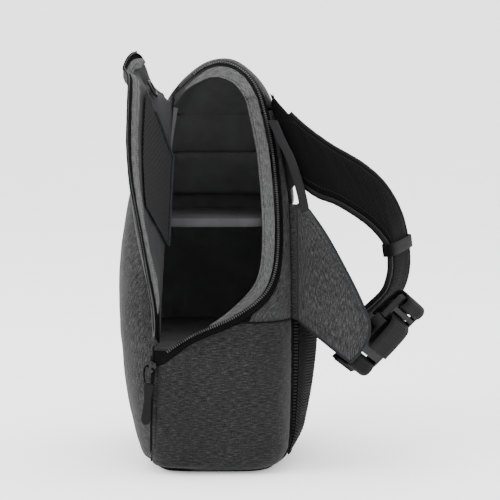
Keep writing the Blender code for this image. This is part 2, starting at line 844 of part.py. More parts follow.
def make_pull(look, origin, slider_pivot):
    pin = origin + Vector((0, -4.5, 0))
    pull_pivot = pivot("zip_pull_pivot", pin, slider_pivot)
    cord = [
        (3.0, -0.9, -14), (3.5, -0.8, -8), (3.9, -0.2, -4), (3.0, 0, -1.75), (0, 0, 0),
        (-3.0, 0, 1.75), (-5.2, -0.1, -0.6), (-5.5, -0.8, -7), (-4.6, -0.9, -14),
    ]  # fmt: skip
    cord = [tuple(pin + Vector(step)) for step in cord]
    round_tube("zip_pull_cord", smooth_path(cord, 18), 0.85, look["webbing"], pull_pivot, 6)
    along = Vector((-0.09, 0, -0.996))
    frame = (pin + Vector((-1.0, -1.0, -14.4)), along, Vector((0.996, 0, -0.09)), Vector((0, -1, 0)))
    tab = [(0, -4.2), (3, -5), (14, -3.6), (34, -4.4), (39, -3), (39, 3), (34, 4.4), (14, 3.6), (3, 5), (0, 4.2)]
    prism("zip_pull_tab", tab, -1.7, 1.7, frame, look["rubber"], pull_pivot, bevel=0.8)


# ---------------------------------------------------------------- the harness

HARNESS_FOOT = np.array([78.0, -84.0, 143.0])
HARNESS_HEAD = np.array([56.0, -30.0, 345.0])

# Each strap station: the two edges, as x, y, z
STRAP_UPPER = [
    (52, -27, 357), (78, -28, 328), (109, -22, 304), (142, -12, 284), (164, -5, 264),
    (180, -1, 236), (187, 1, 205), (187, 1, 180), (180, 0, 160), (165, -1, 142), (150, -3, 128),
]  # fmt: skip
STRAP_LOWER = [
    (79, -46, 275), (97, -55, 263), (115, -57, 256), (142, -50, 239), (157, -48, 225),
    (166, -52, 211), (168, -54, 197), (167, -55, 183), (162, -56, 169), (150, -56, 156), (137, -57, 145),
]  # fmt: skip


def wing_surface(x, z, share):
    """Depth of the wing: it leaves the back seam and leans with the near side."""
    root = -0.80 * near_width(z)
    tip = curve_through([(105, -108), (140, -105), (200, -84), (250, -61)])(z)
    return root + (tip - root) * share - 3 * math.sin(math.pi * share)


def wing_grid(columns=9, rows=12):
    outer = smooth_path(
        [(127, 108), (138, 121), (145, 139), (137, 163), (121, 195), (104, 225), (89, 246)], rows
    )
    root = smooth_path([(79.5, 143.5), (79.5, 200), (79, 251)], rows)
    grid = []
    for i in range(columns):
        share = i / (columns - 1)
        grid.append([])
        for j in range(rows):
            x, z = root[j] * (1 - share) + outer[j] * share
            grid[-1].append(np.array([x, wing_surface(x, z, share), z]))
    return grid


def make_harness(look):
    pivot_empty = pivot("harness_pivot", HARNESS_FOOT)
    pad("hip_wing", wing_grid(), WING_THICK, look["heather"], pivot_empty)
    strip_path = smooth_path([(54.5, 331), (63, 312), (71, 296), (77.5, 277), (82, 261), (84, 253)], 12)
    left, right = [], []
    for x, z in strip_path:
        y = -0.86 * near_width(z) - 6
        left.append((x - 4.2, y, z))
        right.append((x + 4.2, y + 1.5, z))
    ribbon("wing_strip", left, right, 4.0, look["dark_fabric"], pivot_empty)
    upper, lower = smooth_path(STRAP_UPPER, 30), smooth_path(STRAP_LOWER, 30)
    ribbon("shoulder_strap", upper, lower, STRAP_THICK, look["strap"], pivot_empty)
    across = (upper - lower) / np.linalg.norm(upper - lower, axis=1, keepdims=True)
    round_tube("strap_binding_outer", (upper + across * 4.4)[3:], 2.0, look["binding"], pivot_empty, sides=6)
    round_tube("strap_binding_inner", lower - across * 4.2, 2.0, look["binding"], pivot_empty, sides=6)
    make_keeper(look, upper, lower, pivot_empty)
    make_buckle(look, pivot_empty)


def make_keeper(look, upper, lower, parent):
    """A webbing keeper round the strap: a closed band with a hole that the strap fills."""
    index = 19
    a, b = upper[index], lower[index]
    tangent = upper[index + 1] + lower[index + 1] - upper[index - 1] - lower[index - 1]
    tangent = Vector(tangent / np.linalg.norm(tangent))
    across = Vector((b - a) / np.linalg.norm(b - a))
    normal = tangent.cross(across).normalized()
    across = normal.cross(tangent).normalized()
    middle = Vector((a + b) / 2)
    half = np.linalg.norm(b - a) / 2
    frame = (middle, across, normal, tangent)
    outer = block(-half - 9.6, half + 9.6, -8.6, 8.6)
    inner = block(-half - 7.8, half + 7.8, -7.0, 7.0)
    keeper = prism("strap_keeper", outer, -6, 6, frame, look["webbing"], parent)
    hole = prism("strap_keeper_hole", inner, -9, 9, frame, look["webbing"])
    cut(keeper, hole)


def buckle_frame():
    along = Vector((-0.70, 0.0, -0.714)).normalized()
    down_right = Vector((0.714, 0.0, -0.70)).normalized()
    tilt = math.radians(BUCKLE_TILT_DEG)
    through = Vector((0, -1, 0)) * math.cos(tilt) + down_right * math.sin(tilt)
    across = through.cross(along).normalized()
    return BUCKLE_HEAD, along, across, through


def make_buckle(look, harness):
    frame = buckle_frame()
    half = BUCKLE_WIDTH / 2
    socket = prism(
        "buckle_socket",
        [
            (SOCKET_START, -half + 2), (SOCKET_START + 8, -half), (SOCKET_END - 14, -half), (SOCKET_END, -half + 3),
            (SOCKET_END, half - 3), (SOCKET_END - 14, half), (SOCKET_START + 8, half), (SOCKET_START, half - 2),
        ],
        -SOCKET_THICK / 2, SOCKET_THICK / 2, frame, look["plastic"], harness,
    )  # fmt: skip
    cavity = prism("buckle_cavity", block(SOCKET_START - 5, 58, -20.6, 20.6), -4.0, 4.0, frame, look["plastic"])
    windows = prism("buckle_windows", block(37, 52, -half - 5, half + 5), -3.2, 3.2, frame, look["plastic"])
    slot = prism("buckle_webbing_slot", block(62.5, 70.0, -20, 20), -12, 12, frame, look["plastic"])
    for cutter in (cavity, windows, slot):
        cut(socket, cutter)
    make_plug(look, frame, harness)
    make_wing_webbing(look, frame, harness)


def make_plug(look, frame, harness):
    origin, along, _, _ = frame
    plug_pivot = pivot("buckle_plug_pivot", origin + along * SOCKET_START, harness)
    start = SOCKET_START - GAP
    outline_points = [
        (-3, -20), (0, -22.5), (start, -22.5), (start, -5), (48, -4), (52, -2.5),
        (52, 2.5), (48, 4), (start, 5), (start, 22.5), (0, 22.5), (-3, 20),
    ]  # fmt: skip
    thick = PLUG_THICK / 2 - 0.6
    plug = prism("buckle_plug", outline_points, -thick, thick, frame, look["plastic"], plug_pivot)
    for number, low in enumerate((4.0, 14.0)):
        slot = prism(f"plug_slot_{number}", block(low, low + 5, -19.6, 19.6), -10, 10, frame, look["plastic"])
        cut(plug, slot)
    for side, name in ((-1, "buckle_prong_left"), (1, "buckle_prong_right")):
        make_prong(look, frame, side, name, plug_pivot)
    make_plug_webbing(look, frame, plug_pivot)


def make_prong(look, frame, side, name, plug_pivot):
    origin, along, across, _ = frame
    root = SOCKET_START + 0.4
    prong_pivot = pivot(name + "_pivot", origin + along * root + across * side * 14, plug_pivot)
    corners = [
        (root, 12.4), (root + 9, 11.6), (root + 14, 13.5), (root + 25, 13.8), (root + 28, 16.2),
        (root + 24, 19.8), (root + 14, 20.1), (root + 11, 15.4), (root, 16),
    ]  # fmt: skip
    corners = [(a, side * w) for a, w in corners]
    prism(name, corners, -2.6, 2.6, frame, look["plastic"], prong_pivot)


def make_plug_webbing(look, frame, plug_pivot):
    """Webbing folded round the plug's end bar, with its tail lying behind."""
    origin, along, across, through = frame
    route = [
        (30, -9.6), (20, -8.6), (11, -7.4), (7.2, -5.6), (6.6, 0), (6.4, 4.2), (3, 6.2), (-2, 6.0), (-5.2, 3.2),
        (-5.8, 0), (-5.4, -5), (-3, -9.5), (6, -11.2), (18, -12.0), (30, -12.4),
    ]  # fmt: skip
    ends = smooth_path([tuple(origin + along * a + through * t) for a, t in route], 26)
    half = np.array(across) * WEBBING_WIDTH / 2
    ribbon("plug_webbing", ends - half, ends + half, WEBBING_THICK, look["webbing"], plug_pivot)


def make_wing_webbing(look, frame, harness):
    """Webbing from under the wing, through the socket's slot and back."""
    origin, along, across, through = frame
    route = [
        (86, -9.8), (80, -9.4), (73, -9.0), (66.6, -6.4), (66.2, 0), (66.6, 6.4), (70, 8.8), (77, 8.8), (80.6, 5),
        (81.2, 0), (82.6, -4), (86, -6.2),
    ]  # fmt: skip
    ends = smooth_path([tuple(origin + along * a + through * t) for a, t in route], 24)
    half = np.array(across) * WEBBING_WIDTH / 2
    ribbon("socket_webbing", ends - half, ends + half, WEBBING_THICK, look["webbing"], harness)


def main():
    clear_scene()
    look = {
        "heather": material("heather", (0.075, 0.076, 0.078), 0.9),
        "dark_fabric": material("dark_fabric", (0.04, 0.04, 0.042), 0.85),
        "foam": material("foam", (0.12, 0.12, 0.12), 0.95),
        "lining": material("lining", (0.11, 0.11, 0.115), 0.8),
        "pale": material("pale", (0.26, 0.26, 0.265), 0.85),
        "mesh": material("mesh", (0.012, 0.012, 0.013), 0.85),
        "tape": material("tape", (0.012, 0.012, 0.013), 0.75),
        "coil": material("coil", (0.02, 0.02, 0.022), 0.4),
        "board": material("board", (0.02, 0.02, 0.02), 0.6),
        "binding": material("binding", (0.05, 0.05, 0.052), 0.8),
        "strap": material("strap", (0.016, 0.016, 0.018), 0.9),
        "webbing": material("webbing", (0.02, 0.02, 0.022), 0.75),
        "rubber": material("rubber", (0.03, 0.03, 0.032), 0.5),
        "plastic": material("plastic", (0.02, 0.02, 0.022), 0.38),
        "metal": material("metal", (0.05, 0.05, 0.052), 0.3, 0.9),
    }
    make_body(look)
    make_flap(look)
    make_slider(look)
    make_harness(look)


main()
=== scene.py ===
"""The looks of a side-access camera sling bag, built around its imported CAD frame.

Lengths are millimetres until a mesh is made. The skin's shape, the seams and the rim of the
opening follow the same few curves as the CAD part, so each piece lies where its node lies.
"""

import math
from bisect import bisect_right

import bmesh
import bpy
import numpy as np
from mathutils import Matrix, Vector, noise


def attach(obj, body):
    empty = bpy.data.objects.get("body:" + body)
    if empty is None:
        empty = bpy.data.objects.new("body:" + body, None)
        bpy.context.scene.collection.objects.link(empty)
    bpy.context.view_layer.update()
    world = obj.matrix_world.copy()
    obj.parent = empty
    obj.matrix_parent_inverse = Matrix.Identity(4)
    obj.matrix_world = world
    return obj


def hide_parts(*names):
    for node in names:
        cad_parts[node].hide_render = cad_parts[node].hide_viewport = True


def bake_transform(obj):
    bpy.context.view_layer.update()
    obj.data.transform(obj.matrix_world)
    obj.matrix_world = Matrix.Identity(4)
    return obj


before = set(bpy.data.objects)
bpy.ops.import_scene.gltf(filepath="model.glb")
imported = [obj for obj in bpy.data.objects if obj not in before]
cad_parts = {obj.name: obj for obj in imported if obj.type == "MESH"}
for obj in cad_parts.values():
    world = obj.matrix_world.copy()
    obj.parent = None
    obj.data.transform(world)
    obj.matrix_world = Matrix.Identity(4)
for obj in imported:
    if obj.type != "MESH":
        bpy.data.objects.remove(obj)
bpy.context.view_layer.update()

MM = 0.001
HEIGHT = 389.0
APEX_X = 6.0
BASE_ROUND = 18.0
HINGE_FOOT = (-58.0, 110.0)
HINGE_HEAD = (-41.0, -31.0, 353.0)
FLAP_OPEN_DEG = 116.0
TAPE_WIDTH = 8.6
PANEL_TOP = 344.0
BACK_TOP = 340.0
FAR_TOP = 336.0
REAR_STRIP_FOOT = 144.0
UV_SIZE = 100.0  # millimetres of cloth to one unit of UV
CLOTH = 1.1  # thickness of the outer cloth
RIB_PITCH = 3.1  # of the back pad's spacer mesh
TOOTH_PITCH = 2.2
TOOTH_SIZE = (1.25, 0.62, 0.8)
WEBBING_WIDTH = 38.0
WEBBING_THICK = 1.5
STRAP_STEPS = 240

# ---------------------------------------------------------------- curves and the skin


def curve_through(keys):
    """A smooth function of one number through its (number, value) keys."""
    at = [key[0] for key in keys]
    value = [key[1] for key in keys]
    slope = []
    for i in range(len(keys)):
        low, high = max(i - 1, 0), min(i + 1, len(keys) - 1)
        slope.append((value[high] - value[low]) / (at[high] - at[low]))

    def smooth(x):
        x = min(max(x, at[0]), at[-1])
        i = min(max(bisect_right(at, x) - 1, 0), len(at) - 2)
        span = at[i + 1] - at[i]
        t = (x - at[i]) / span
        return (
            (1 + 2 * t) * (1 - t) ** 2 * value[i]
            + t * (1 - t) ** 2 * span * slope[i]
            + t * t * (3 - 2 * t) * value[i + 1]
            + t * t * (t - 1) * span * slope[i + 1]
        )

    return smooth


def smooth_path(points, count):
    """count points, evenly spaced along a smooth curve through the given ones."""
    points = np.array(points, float)
    steps = np.linalg.norm(np.diff(points, axis=0), axis=1)
    along = np.concatenate([[0.0], np.cumsum(steps)])
    columns = [curve_through(list(zip(along, column))) for column in points.T]
    fine = np.linspace(0, along[-1], 400)
    dense = np.array([[column(s) for column in columns] for s in fine])
    return even(dense, count)


def even(dense, count):
    """The same path with its points at equal steps."""
    steps = np.linalg.norm(np.diff(dense, axis=0), axis=1)
    length = np.concatenate([[0.0], np.cumsum(steps)])
    wanted = np.linspace(0, length[-1], count)
    return np.array([np.interp(wanted, length, column) for column in dense.T]).T


def closing(z, start, power):
    """1 below start, falling to 0 at the crown as a rounded arch."""
    if z <= start:
        return 1.0
    t = min((z - start) / (HEIGHT - start), 1.0)
    return max(1 - t**power, 0.0) ** (1 / power)


front_line = curve_through(
    [(0, -66), (45, -79), (110, -89), (170, -92), (230, -88), (290, -73), (345, -50), (387, -34)]
)
back_line = curve_through(
    [(0, 66), (27, 74), (143, 77), (207, 76.5), (256, 74), (300, 65.5), (344, 54.5), (387, 35)]
)
far_line = curve_through(
    [(0, 108), (45, 115), (110, 116), (170, 111), (230, 99), (290, 81), (345, 58), (387, 45)]
)
near_low_line = curve_through([(0, 108), (45, 116), (85, 118.5), (110, 115.4)])
boxiness = curve_through([(0, 4.6), (110, 4.4), (230, 4.0), (353, 3.2), (387, 2.6)])


def outline(z):
    """Centre, half depth, boxiness and inset of the horizontal section at z."""
    inset = 0.0
    if z < BASE_ROUND:
        inset = BASE_ROUND - math.sqrt(BASE_ROUND**2 - (BASE_ROUND - z) ** 2)
    front = APEX_X + (front_line(z) - APEX_X) * closing(z, 338, 2.0) + inset
    back = APEX_X + (back_line(z) - APEX_X) * closing(z, 352, 2.4) - inset
    return (front + back) / 2, max((back - front) / 2, 0.5), boxiness(z), inset


def fullness(x, z):
    """Share of the half width that the section at z reaches at this x."""
    centre, half, power, _ = outline(z)
    across = min(abs((x - centre) / half), 0.9999)
    return (1 - across**power) ** (1 / power)


SEAM_FOOT = np.array(
    [HINGE_FOOT[0], -near_low_line(HINGE_FOOT[1]) * fullness(*HINGE_FOOT), HINGE_FOOT[1]]
)
SEAM_HEAD = np.array(HINGE_HEAD)
HINGE_AXIS = (SEAM_HEAD - SEAM_FOOT) / np.linalg.norm(SEAM_HEAD - SEAM_FOOT)


def seam_at(z):
    """The flap's hinge seam: a straight line from its foot to its head."""
    return SEAM_FOOT + (SEAM_HEAD - SEAM_FOOT) * (z - SEAM_FOOT[2]) / (SEAM_HEAD[2] - SEAM_FOOT[2])


def near_width(z):
    """The outline's half width on the near side at this height."""
    if z <= SEAM_FOOT[2]:
        return near_low_line(z) - outline(z)[3]
    if z <= SEAM_HEAD[2]:
        x, y, _ = seam_at(z)
        return -y / fullness(x, z)
    x, y, _ = SEAM_HEAD
    return -y / fullness(x, SEAM_HEAD[2]) * closing(z, SEAM_HEAD[2] - 6, 2.6)


def far_width(z):
    """The outline's half width on the far side at this height."""
    return far_line(z) * closing(z, 345, 2.2) - outline(z)[3]


def reach(x, y, z):
    """1 on the skin, less inside it."""
    z = min(max(z, 0.0), HEIGHT - 0.05)
    centre, half, power, _ = outline(z)
    width = max(near_width(z) if y < 0 else far_width(z), 0.5)
    return (abs((x - centre) / half) ** power + abs(y / width) ** power) ** (1 / power)


def skin_normal(point):
    """The skin's outward unit normal near a point."""
    step = 0.4
    gradient = np.zeros(3)
    for axis in range(3):
        ahead, behind = np.array(point, float), np.array(point, float)
        ahead[axis] += step
        behind[axis] -= step
        gradient[axis] = reach(*ahead) - reach(*behind)
    if point[2] < 1.0:
        gradient[2] = 0.0
    return gradient / max(np.linalg.norm(gradient), 1e-9)


def at_angle(degrees, z):
    """The skin point at a compass angle: 0 back, 90 far side, 180 front, 270 near side."""
    centre, half, power, _ = outline(z)
    turn = math.radians(degrees)
    width = near_width(z) if math.sin(turn) < 0 else far_width(z)
    spread = abs(math.cos(turn) / half) ** power + abs(math.sin(turn) / width) ** power
    radius = spread ** (-1 / power)
    return np.array([centre + radius * math.cos(turn), radius * math.sin(turn), z])


def near_side(x, z):
    """The skin point of the near side at this x and z."""
    return np.array([x, -near_width(z) * fullness(x, z), z])


def near_angle(x, z):
    """The angle at which the near side passes this x."""
    _, y, _ = near_side(x, z)
    return math.degrees(math.atan2(y, x - outline(z)[0])) % 360


def cast(direction, start):
    """Where a ray from a point inside meets the skin."""
    direction = direction / np.linalg.norm(direction)
    inside, outside = 0.0, 500.0
    for _ in range(30):
        middle = (inside + outside) / 2
        point = start + direction * middle
        if point[2] < HEIGHT and reach(*point) < 1:
            inside = middle
        else:
            outside = middle
    return start + direction * inside


def settle(point):
    """The skin point nearest to one that is close to the skin."""
    point = np.array(point, float)
    for _ in range(4):
        value = reach(*point)
        normal = skin_normal(point)
        slope = (reach(*(point + normal * 0.4)) - reach(*(point - normal * 0.4))) / 0.8
        point = point - normal * np.clip((value - 1) / max(slope, 1e-4), -4, 4)
        point[2] = min(point[2], HEIGHT - 0.3)
    return point


# ---------------------------------------------------------------- seams and the rim


def near_front(z):
    """Angle of the seam between the front panel and the near side."""
    if z < SEAM_FOOT[2]:
        return near_angle(HINGE_FOOT[0] - 0.03 * (SEAM_FOOT[2] - z), z)
    return near_angle(seam_at(min(z, SEAM_HEAD[2]))[0], min(z, SEAM_HEAD[2]))


back_seam_share = curve_through([(0, 0.955), (240, 0.955), (300, 0.975), (345, 0.994)])


def near_back(z):
    """Angle of the seam between the near side and the back panel."""
    centre, half, _, _ = outline(z)
    return near_angle(centre + half * back_seam_share(z), z)


def far_back(z):
    """The angle of the back's edge on the far side."""
    return 360 - near_back(z)


def far_front(z):
    """The angle of the front's edge on the far side."""
    return 180 - (near_front(max(z, 30)) - 180) * 0.9


RIM_KEYS = [
    (-58, 110), (-25, 132), (22, 153), (49, 176), (57.5, 212), (54, 290),
    (46, 334), (37, 362), (25, 377), (8, 384.5), (-7, 382), (-20, 373.5), (-31, 363), (-41, 353),
]  # fmt: skip
RIM_COUNT = 61
RIM = np.array([near_side(x, z) for x, z in smooth_path(RIM_KEYS, RIM_COUNT)])


def rim_frame(index):
    """Point on the rim and the in-skin direction into the opening."""
    ahead = RIM[min(index + 1, RIM_COUNT - 1)]
    behind = RIM[max(index - 1, 0)]
    tangent = (ahead - behind) / np.linalg.norm(ahead - behind)
    normal = skin_normal(RIM[index])
    side = np.cross(normal, tangent)
    return RIM[index], side / np.linalg.norm(side)


OFFSETS = {}


def rim_offset(index, distance):
    """The skin point this far from the rim, towards the opening when positive."""
    key = (index, round(distance, 3))
    if key not in OFFSETS:
        point, side = rim_frame(index)
        for _ in range(3):
            point = settle(point + side * distance / 3)
        OFFSETS[key] = point
    return OFFSETS[key]


OUTER_RIM = np.array([rim_offset(i, -TAPE_WIDTH - 0.3) for i in range(RIM_COUNT)])
CROSS_SEAM_LEFT = np.interp(REAR_STRIP_FOOT, OUTER_RIM[8:20, 2], OUTER_RIM[8:20, 0])


def hold_off_seam(point, margin=2.0):
    """The skin point, moved back to the flap's side of the hinge seam if it is past it."""
    limit = seam_at(min(max(point[2], SEAM_FOOT[2]), SEAM_HEAD[2]))[0] + margin
    return point if point[0] >= limit else near_side(limit, point[2])


def leg_height(x):
    """Top of the lower near panel: the zip tape's edge, then the cross seam."""
    foot = [(p[0], p[2]) for p in OUTER_RIM[:18]]
    return min(float(np.interp(x, *zip(*foot))), REAR_STRIP_FOOT)


def wrap_grid(left, right, bottom, top, columns, rows, crowding=1.4):
    """Skin points between two seams (angles that depend on z) and two heights."""
    grid = []
    for i in range(columns):
        share = i / (columns - 1)
        grid.append([])
        for j in range(rows):
            z = bottom
            for _ in range(6):
                low, high = left(z), right(z)
                angle = low + (high - low) * share
                ceiling = top(at_angle(angle, z)[0]) if callable(top) else top
                z = bottom + (ceiling - bottom) * (j / (rows - 1)) ** crowding
            grid[-1].append(at_angle(angle, z))
    return grid


def rear_strip_grid(columns=6, rows=26):
    """Between the zip tape and the back seam, from the cross seam up to the crown."""
    side = [p for p in OUTER_RIM[14:44] if p[2] > REAR_STRIP_FOOT - 4 and p[0] > 20]
    heights = [p[2] for p in side]
    starts = [p[0] for p in side]
    grid = []
    for i in range(columns):
        share = i / (columns - 1)
        grid.append([])
        for j in range(rows):
            z = REAR_STRIP_FOOT + (BACK_TOP - REAR_STRIP_FOOT) * j / (rows - 1)
            left = near_angle(float(np.interp(z, heights, starts)), z)
            grid[-1].append(at_angle(left + (near_back(z) - left) * share, z))
    return grid


# Height of the crown's lower edge round the bag, at each compass angle.
collar_height = curve_through(
    [(-30, BACK_TOP), (35, BACK_TOP), (60, FAR_TOP), (125, FAR_TOP), (155, PANEL_TOP), (220, PANEL_TOP)]
)


def crown_grid(columns=14, rows=26):
    """Over the top, from the zip tape round the crown to the tops of the other panels."""
    centre = np.array([4.0, 0.0, 318.0])
    first = next(i for i in range(30, RIM_COUNT) if RIM[i][2] > BACK_TOP + 3)
    near = smooth_path([OUTER_RIM[i] for i in range(first, RIM_COUNT)], rows)
    low, high = near_back(BACK_TOP) - 360, near_front(PANEL_TOP)
    angles = [low + (high - low) * j / (rows - 1) for j in range(rows)]
    far = [at_angle(angle, collar_height(angle)) for angle in angles]
    grid = []
    for i in range(columns):
        share = i / (columns - 1)
        row = []
        for j in range(rows):
            toward = near[j] * (1 - share) + far[j] * share - centre
            row.append(cast(toward, centre))
        grid.append(row)
    return grid


# ---------------------------------------------------------------- grids, meshes and pieces


def refine_axis(grid, count):
    """Catmull-Rom interpolation of a grid's first axis to count evenly spaced samples."""
    n = len(grid)
    at = np.linspace(0, n - 1, count)
    i = np.minimum(at.astype(int), n - 2)
    t = (at - i).reshape((-1,) + (1,) * (grid.ndim - 1))
    p0, p1 = grid[np.maximum(i - 1, 0)], grid[i]
    p2, p3 = grid[i + 1], grid[np.minimum(i + 2, n - 1)]
    p0 = np.where((i == 0).reshape(t.shape), 2 * p1 - p2, p0)
    p3 = np.where((i == n - 2).reshape(t.shape), 2 * p2 - p1, p3)
    return 0.5 * (
        2 * p1 + (p2 - p0) * t + (2 * p0 - 5 * p1 + 4 * p2 - p3) * t**2 + (3 * p1 - p0 - 3 * p2 + p3) * t**3
    )


def refine(grid, rows, columns):
    """The same grid with more rows and columns."""
    grid = refine_axis(np.array(grid, float), rows)
    return refine_axis(grid.swapaxes(0, 1), columns).swapaxes(0, 1)


def grid_normals(grid, outside):
    """Unit normals that point away from the point inside (or towards, if it is outside)."""
    along, across = np.gradient(grid, axis=0), np.gradient(grid, axis=1)
    normals = np.cross(along, across)
    normals = normals / np.maximum(np.linalg.norm(normals, axis=2, keepdims=True), 1e-9)
    middle = (grid.shape[0] // 2, grid.shape[1] // 2)
    if np.dot(normals[middle], grid[middle] - outside) < 0:
        normals = -normals
    return normals


def cloth_lengths(grid):
    """Arc lengths along both ways of the grid, and the distances to its four edges."""
    step_u = np.linalg.norm(np.diff(grid, axis=0), axis=2)
    step_v = np.linalg.norm(np.diff(grid, axis=1), axis=2)
    u = np.concatenate([np.zeros((1, grid.shape[1])), np.cumsum(step_u, axis=0)])
    v = np.concatenate([np.zeros((grid.shape[0], 1)), np.cumsum(step_v, axis=1)], axis=1)
    return u, v, u[-1:] - u, v[:, -1:] - v


def edge_distance(grid):
    """Distance along the cloth from each point to its nearest edge."""
    u, v, rest_u, rest_v = cloth_lengths(grid)
    return np.minimum(np.minimum(u, rest_u), np.minimum(v, rest_v))


def around(grid):
    """The grid's border, once round."""
    return np.concatenate([grid[0], grid[:, -1], grid[-1][::-1], grid[:, 0][::-1]])


def lumps(points, size, seed=0.0):
    """Smooth noise from -1 to 1 at each point, with features of this size in millimetres."""
    flat = points.reshape(-1, 3) / size + seed
    return np.array([noise.noise(Vector(p)) for p in flat]).reshape(points.shape[:-1])


def build_mesh(name, points, faces, uvs, look):
    """A shaded object from millimetre points; uvs holds one (u, v) for each point."""
    mesh = bpy.data.meshes.new(name)
    mesh.from_pydata([tuple(p) for p in np.array(points) * MM], [], faces)
    if uvs is not None:
        layer = mesh.uv_layers.new(name="UVMap")
        corner = np.zeros(len(mesh.loops), int)
        mesh.loops.foreach_get("vertex_index", corner)
        layer.data.foreach_set("uv", (np.array(uvs)[corner] / UV_SIZE).ravel())
    work = bmesh.new()
    work.from_mesh(mesh)
    bmesh.ops.recalc_face_normals(work, faces=work.faces[:])
    work.to_mesh(mesh)
    work.free()
    mesh.shade_smooth()
    mesh.set_sharp_from_angle(angle=math.radians(50))
    made = bpy.data.objects.new(name, mesh)
    made.data.materials.append(look)
    bpy.context.scene.collection.objects.link(made)
    return made


def layer_between(name, outer, inner, look, level=False):
    """A closed solid between two grids of points; level keeps the cloth's threads level."""
    rows, columns = outer.shape[:2]
    count = rows * columns

    def index(i, j, back=0):
        return i * columns + j + back

    faces = []
    for i in range(rows - 1):
        for j in range(columns - 1):
            faces.append([index(i, j), index(i + 1, j), index(i + 1, j + 1), index(i, j + 1)])
            under = [(i, j), (i, j + 1), (i + 1, j + 1), (i + 1, j)]
            faces.append([index(*place, count) for place in under])
    edge = [(i, 0) for i in range(rows)]
    edge += [(rows - 1, j) for j in range(1, columns)]
    edge += [(i, columns - 1) for i in range(rows - 2, -1, -1)]
    edge += [(0, j) for j in range(columns - 2, 0, -1)]
    for here, there in zip(edge, edge[1:] + edge[:1]):
        faces.append([index(*here), index(*there), index(*there, count), index(*here, count)])
    u, v, _, _ = cloth_lengths(outer)
    if level:
        v = outer[..., 2]
    one = np.stack([u.ravel(), v.ravel()], axis=1)
    points = np.concatenate([outer.reshape(-1, 3), inner.reshape(-1, 3)])
    return build_mesh(name, points, faces, np.concatenate([one, one]), look)


def sweep(name, rings, look, closed_path=False):
    """A closed solid through rings with the same number of points."""
    rings = np.array(rings, float)
    count, sides = rings.shape[:2]
    faces = []
    for i in range(count if closed_path else count - 1):
        n = (i + 1) % count
        for j in range(sides):
            k = (j + 1) % sides
            faces.append([i * sides + j, i * sides + k, n * sides + k, n * sides + j])
    if not closed_path:
        faces.append(list(range(sides))[::-1])
        faces.append([(count - 1) * sides + j for j in range(sides)])
    u, v, _, _ = cloth_lengths(rings)
    uvs = np.stack([v.ravel(), u.ravel()], axis=1)
    return build_mesh(name, rings.reshape(-1, 3), faces, uvs, look)


def path_frames(path, up):
    """Tangent, side and lift at each point of a path; lift stays near up."""
    path = np.array(path, float)
    tangent = np.gradient(path, axis=0)
    tangent /= np.linalg.norm(tangent, axis=1, keepdims=True)
    up = np.broadcast_to(np.array(up, float), path.shape)
    side = np.cross(tangent, up)
    side /= np.maximum(np.linalg.norm(side, axis=1, keepdims=True), 1e-9)
    return tangent, side, np.cross(side, tangent)


def round_rings(path, radius, up=(0, 1, 0), sides=10, flat=1.0):
    """Round or oval sections along a path."""
    _, side, lift = path_frames(path, up)
    radius = np.broadcast_to(np.array(radius, float), (len(path),))
    rings = []
    for point, s, l, r in zip(path, side, lift, radius):
        turns = [2 * math.pi * k / sides for k in range(sides)]
        rings.append([point + r * (math.cos(t) * s + flat * math.sin(t) * l) for t in turns])
    return rings


def cord_piece(name, path, radius, look, up=(0, 1, 0), sides=10, flat=1.0):
    """A round or oval cord along a path."""
    return sweep(name, round_rings(path, radius, up, sides, flat), look)


def many(name, centres, along, across, size, look):
    """One mesh of many small rounded grains, such as stitches or zip teeth."""
    shape = [(-1, 0.55), (-0.62, 1), (0.62, 1), (1, 0.55)]
    points, faces, sides = [], [], 6
    for centre, a, c in zip(centres, along, across):
        a, c = np.array(a), np.array(c)
        up = np.cross(a, c)
        base = len(points)
        for t, r in shape:
            for k in range(sides):
                turn = 2 * math.pi * k / sides
                rise = c * size[1] * math.cos(turn) + up * size[2] * math.sin(turn)
                points.append(centre + a * t * size[0] + rise * r)
        for i in range(len(shape) - 1):
            for k in range(sides):
                n = (k + 1) % sides
                near, far = base + i * sides, base + (i + 1) * sides
                faces.append([near + k, near + n, far + n, far + k])
        faces.append([base + k for k in range(sides)][::-1])
        faces.append([base + (len(shape) - 1) * sides + k for k in range(sides)])
    uvs = np.array([[p[0], p[2]] for p in points])
    return build_mesh(name, points, faces, uvs, look)


def stitch_line(name, path, normals, look, pitch=3.4, length=1.15, width=0.32):
    """Stitches along a path that lies on cloth with these normals."""
    path = np.array(path, float)
    total = np.linalg.norm(np.diff(path, axis=0), axis=1).sum()
    count = max(int(total / pitch), 2)
    steps = np.concatenate([[0.0], np.cumsum(np.linalg.norm(np.diff(path, axis=0), axis=1))])
    wanted = (np.arange(count) + 0.5) * total / count
    at = np.array([np.interp(wanted, steps, c) for c in path.T]).T
    up = np.array([np.interp(wanted, steps, c) for c in np.array(normals).T]).T
    ahead = np.array([np.interp(wanted + 0.5, steps, c) for c in path.T]).T
    behind = np.array([np.interp(wanted - 0.5, steps, c) for c in path.T]).T
    along = ahead - behind
    along /= np.linalg.norm(along, axis=1, keepdims=True)
    across = np.cross(up, along)
    across /= np.linalg.norm(across, axis=1, keepdims=True)
    return many(name, at, along, across, (length, width, width * 0.8), look)


# The zip still holds the flap's foot, so the open flap twists: its foot has turned less than
# its head. These two points on the hinge line, one of them far below, set how much.
HINGE_LENGTH = np.linalg.norm(SEAM_HEAD - SEAM_FOOT)
TWIST_END = SEAM_HEAD
TWIST_START = SEAM_HEAD - HINGE_AXIS * HINGE_LENGTH / 0.37


def open_share(points):
    """How much of the opening each point of the flap has made, from 0 to 1."""
    t = (points - TWIST_START) @ HINGE_AXIS / np.linalg.norm(TWIST_END - TWIST_START)
    t = np.clip(t, 0, 1)
    return t * t * (3 - 2 * t)


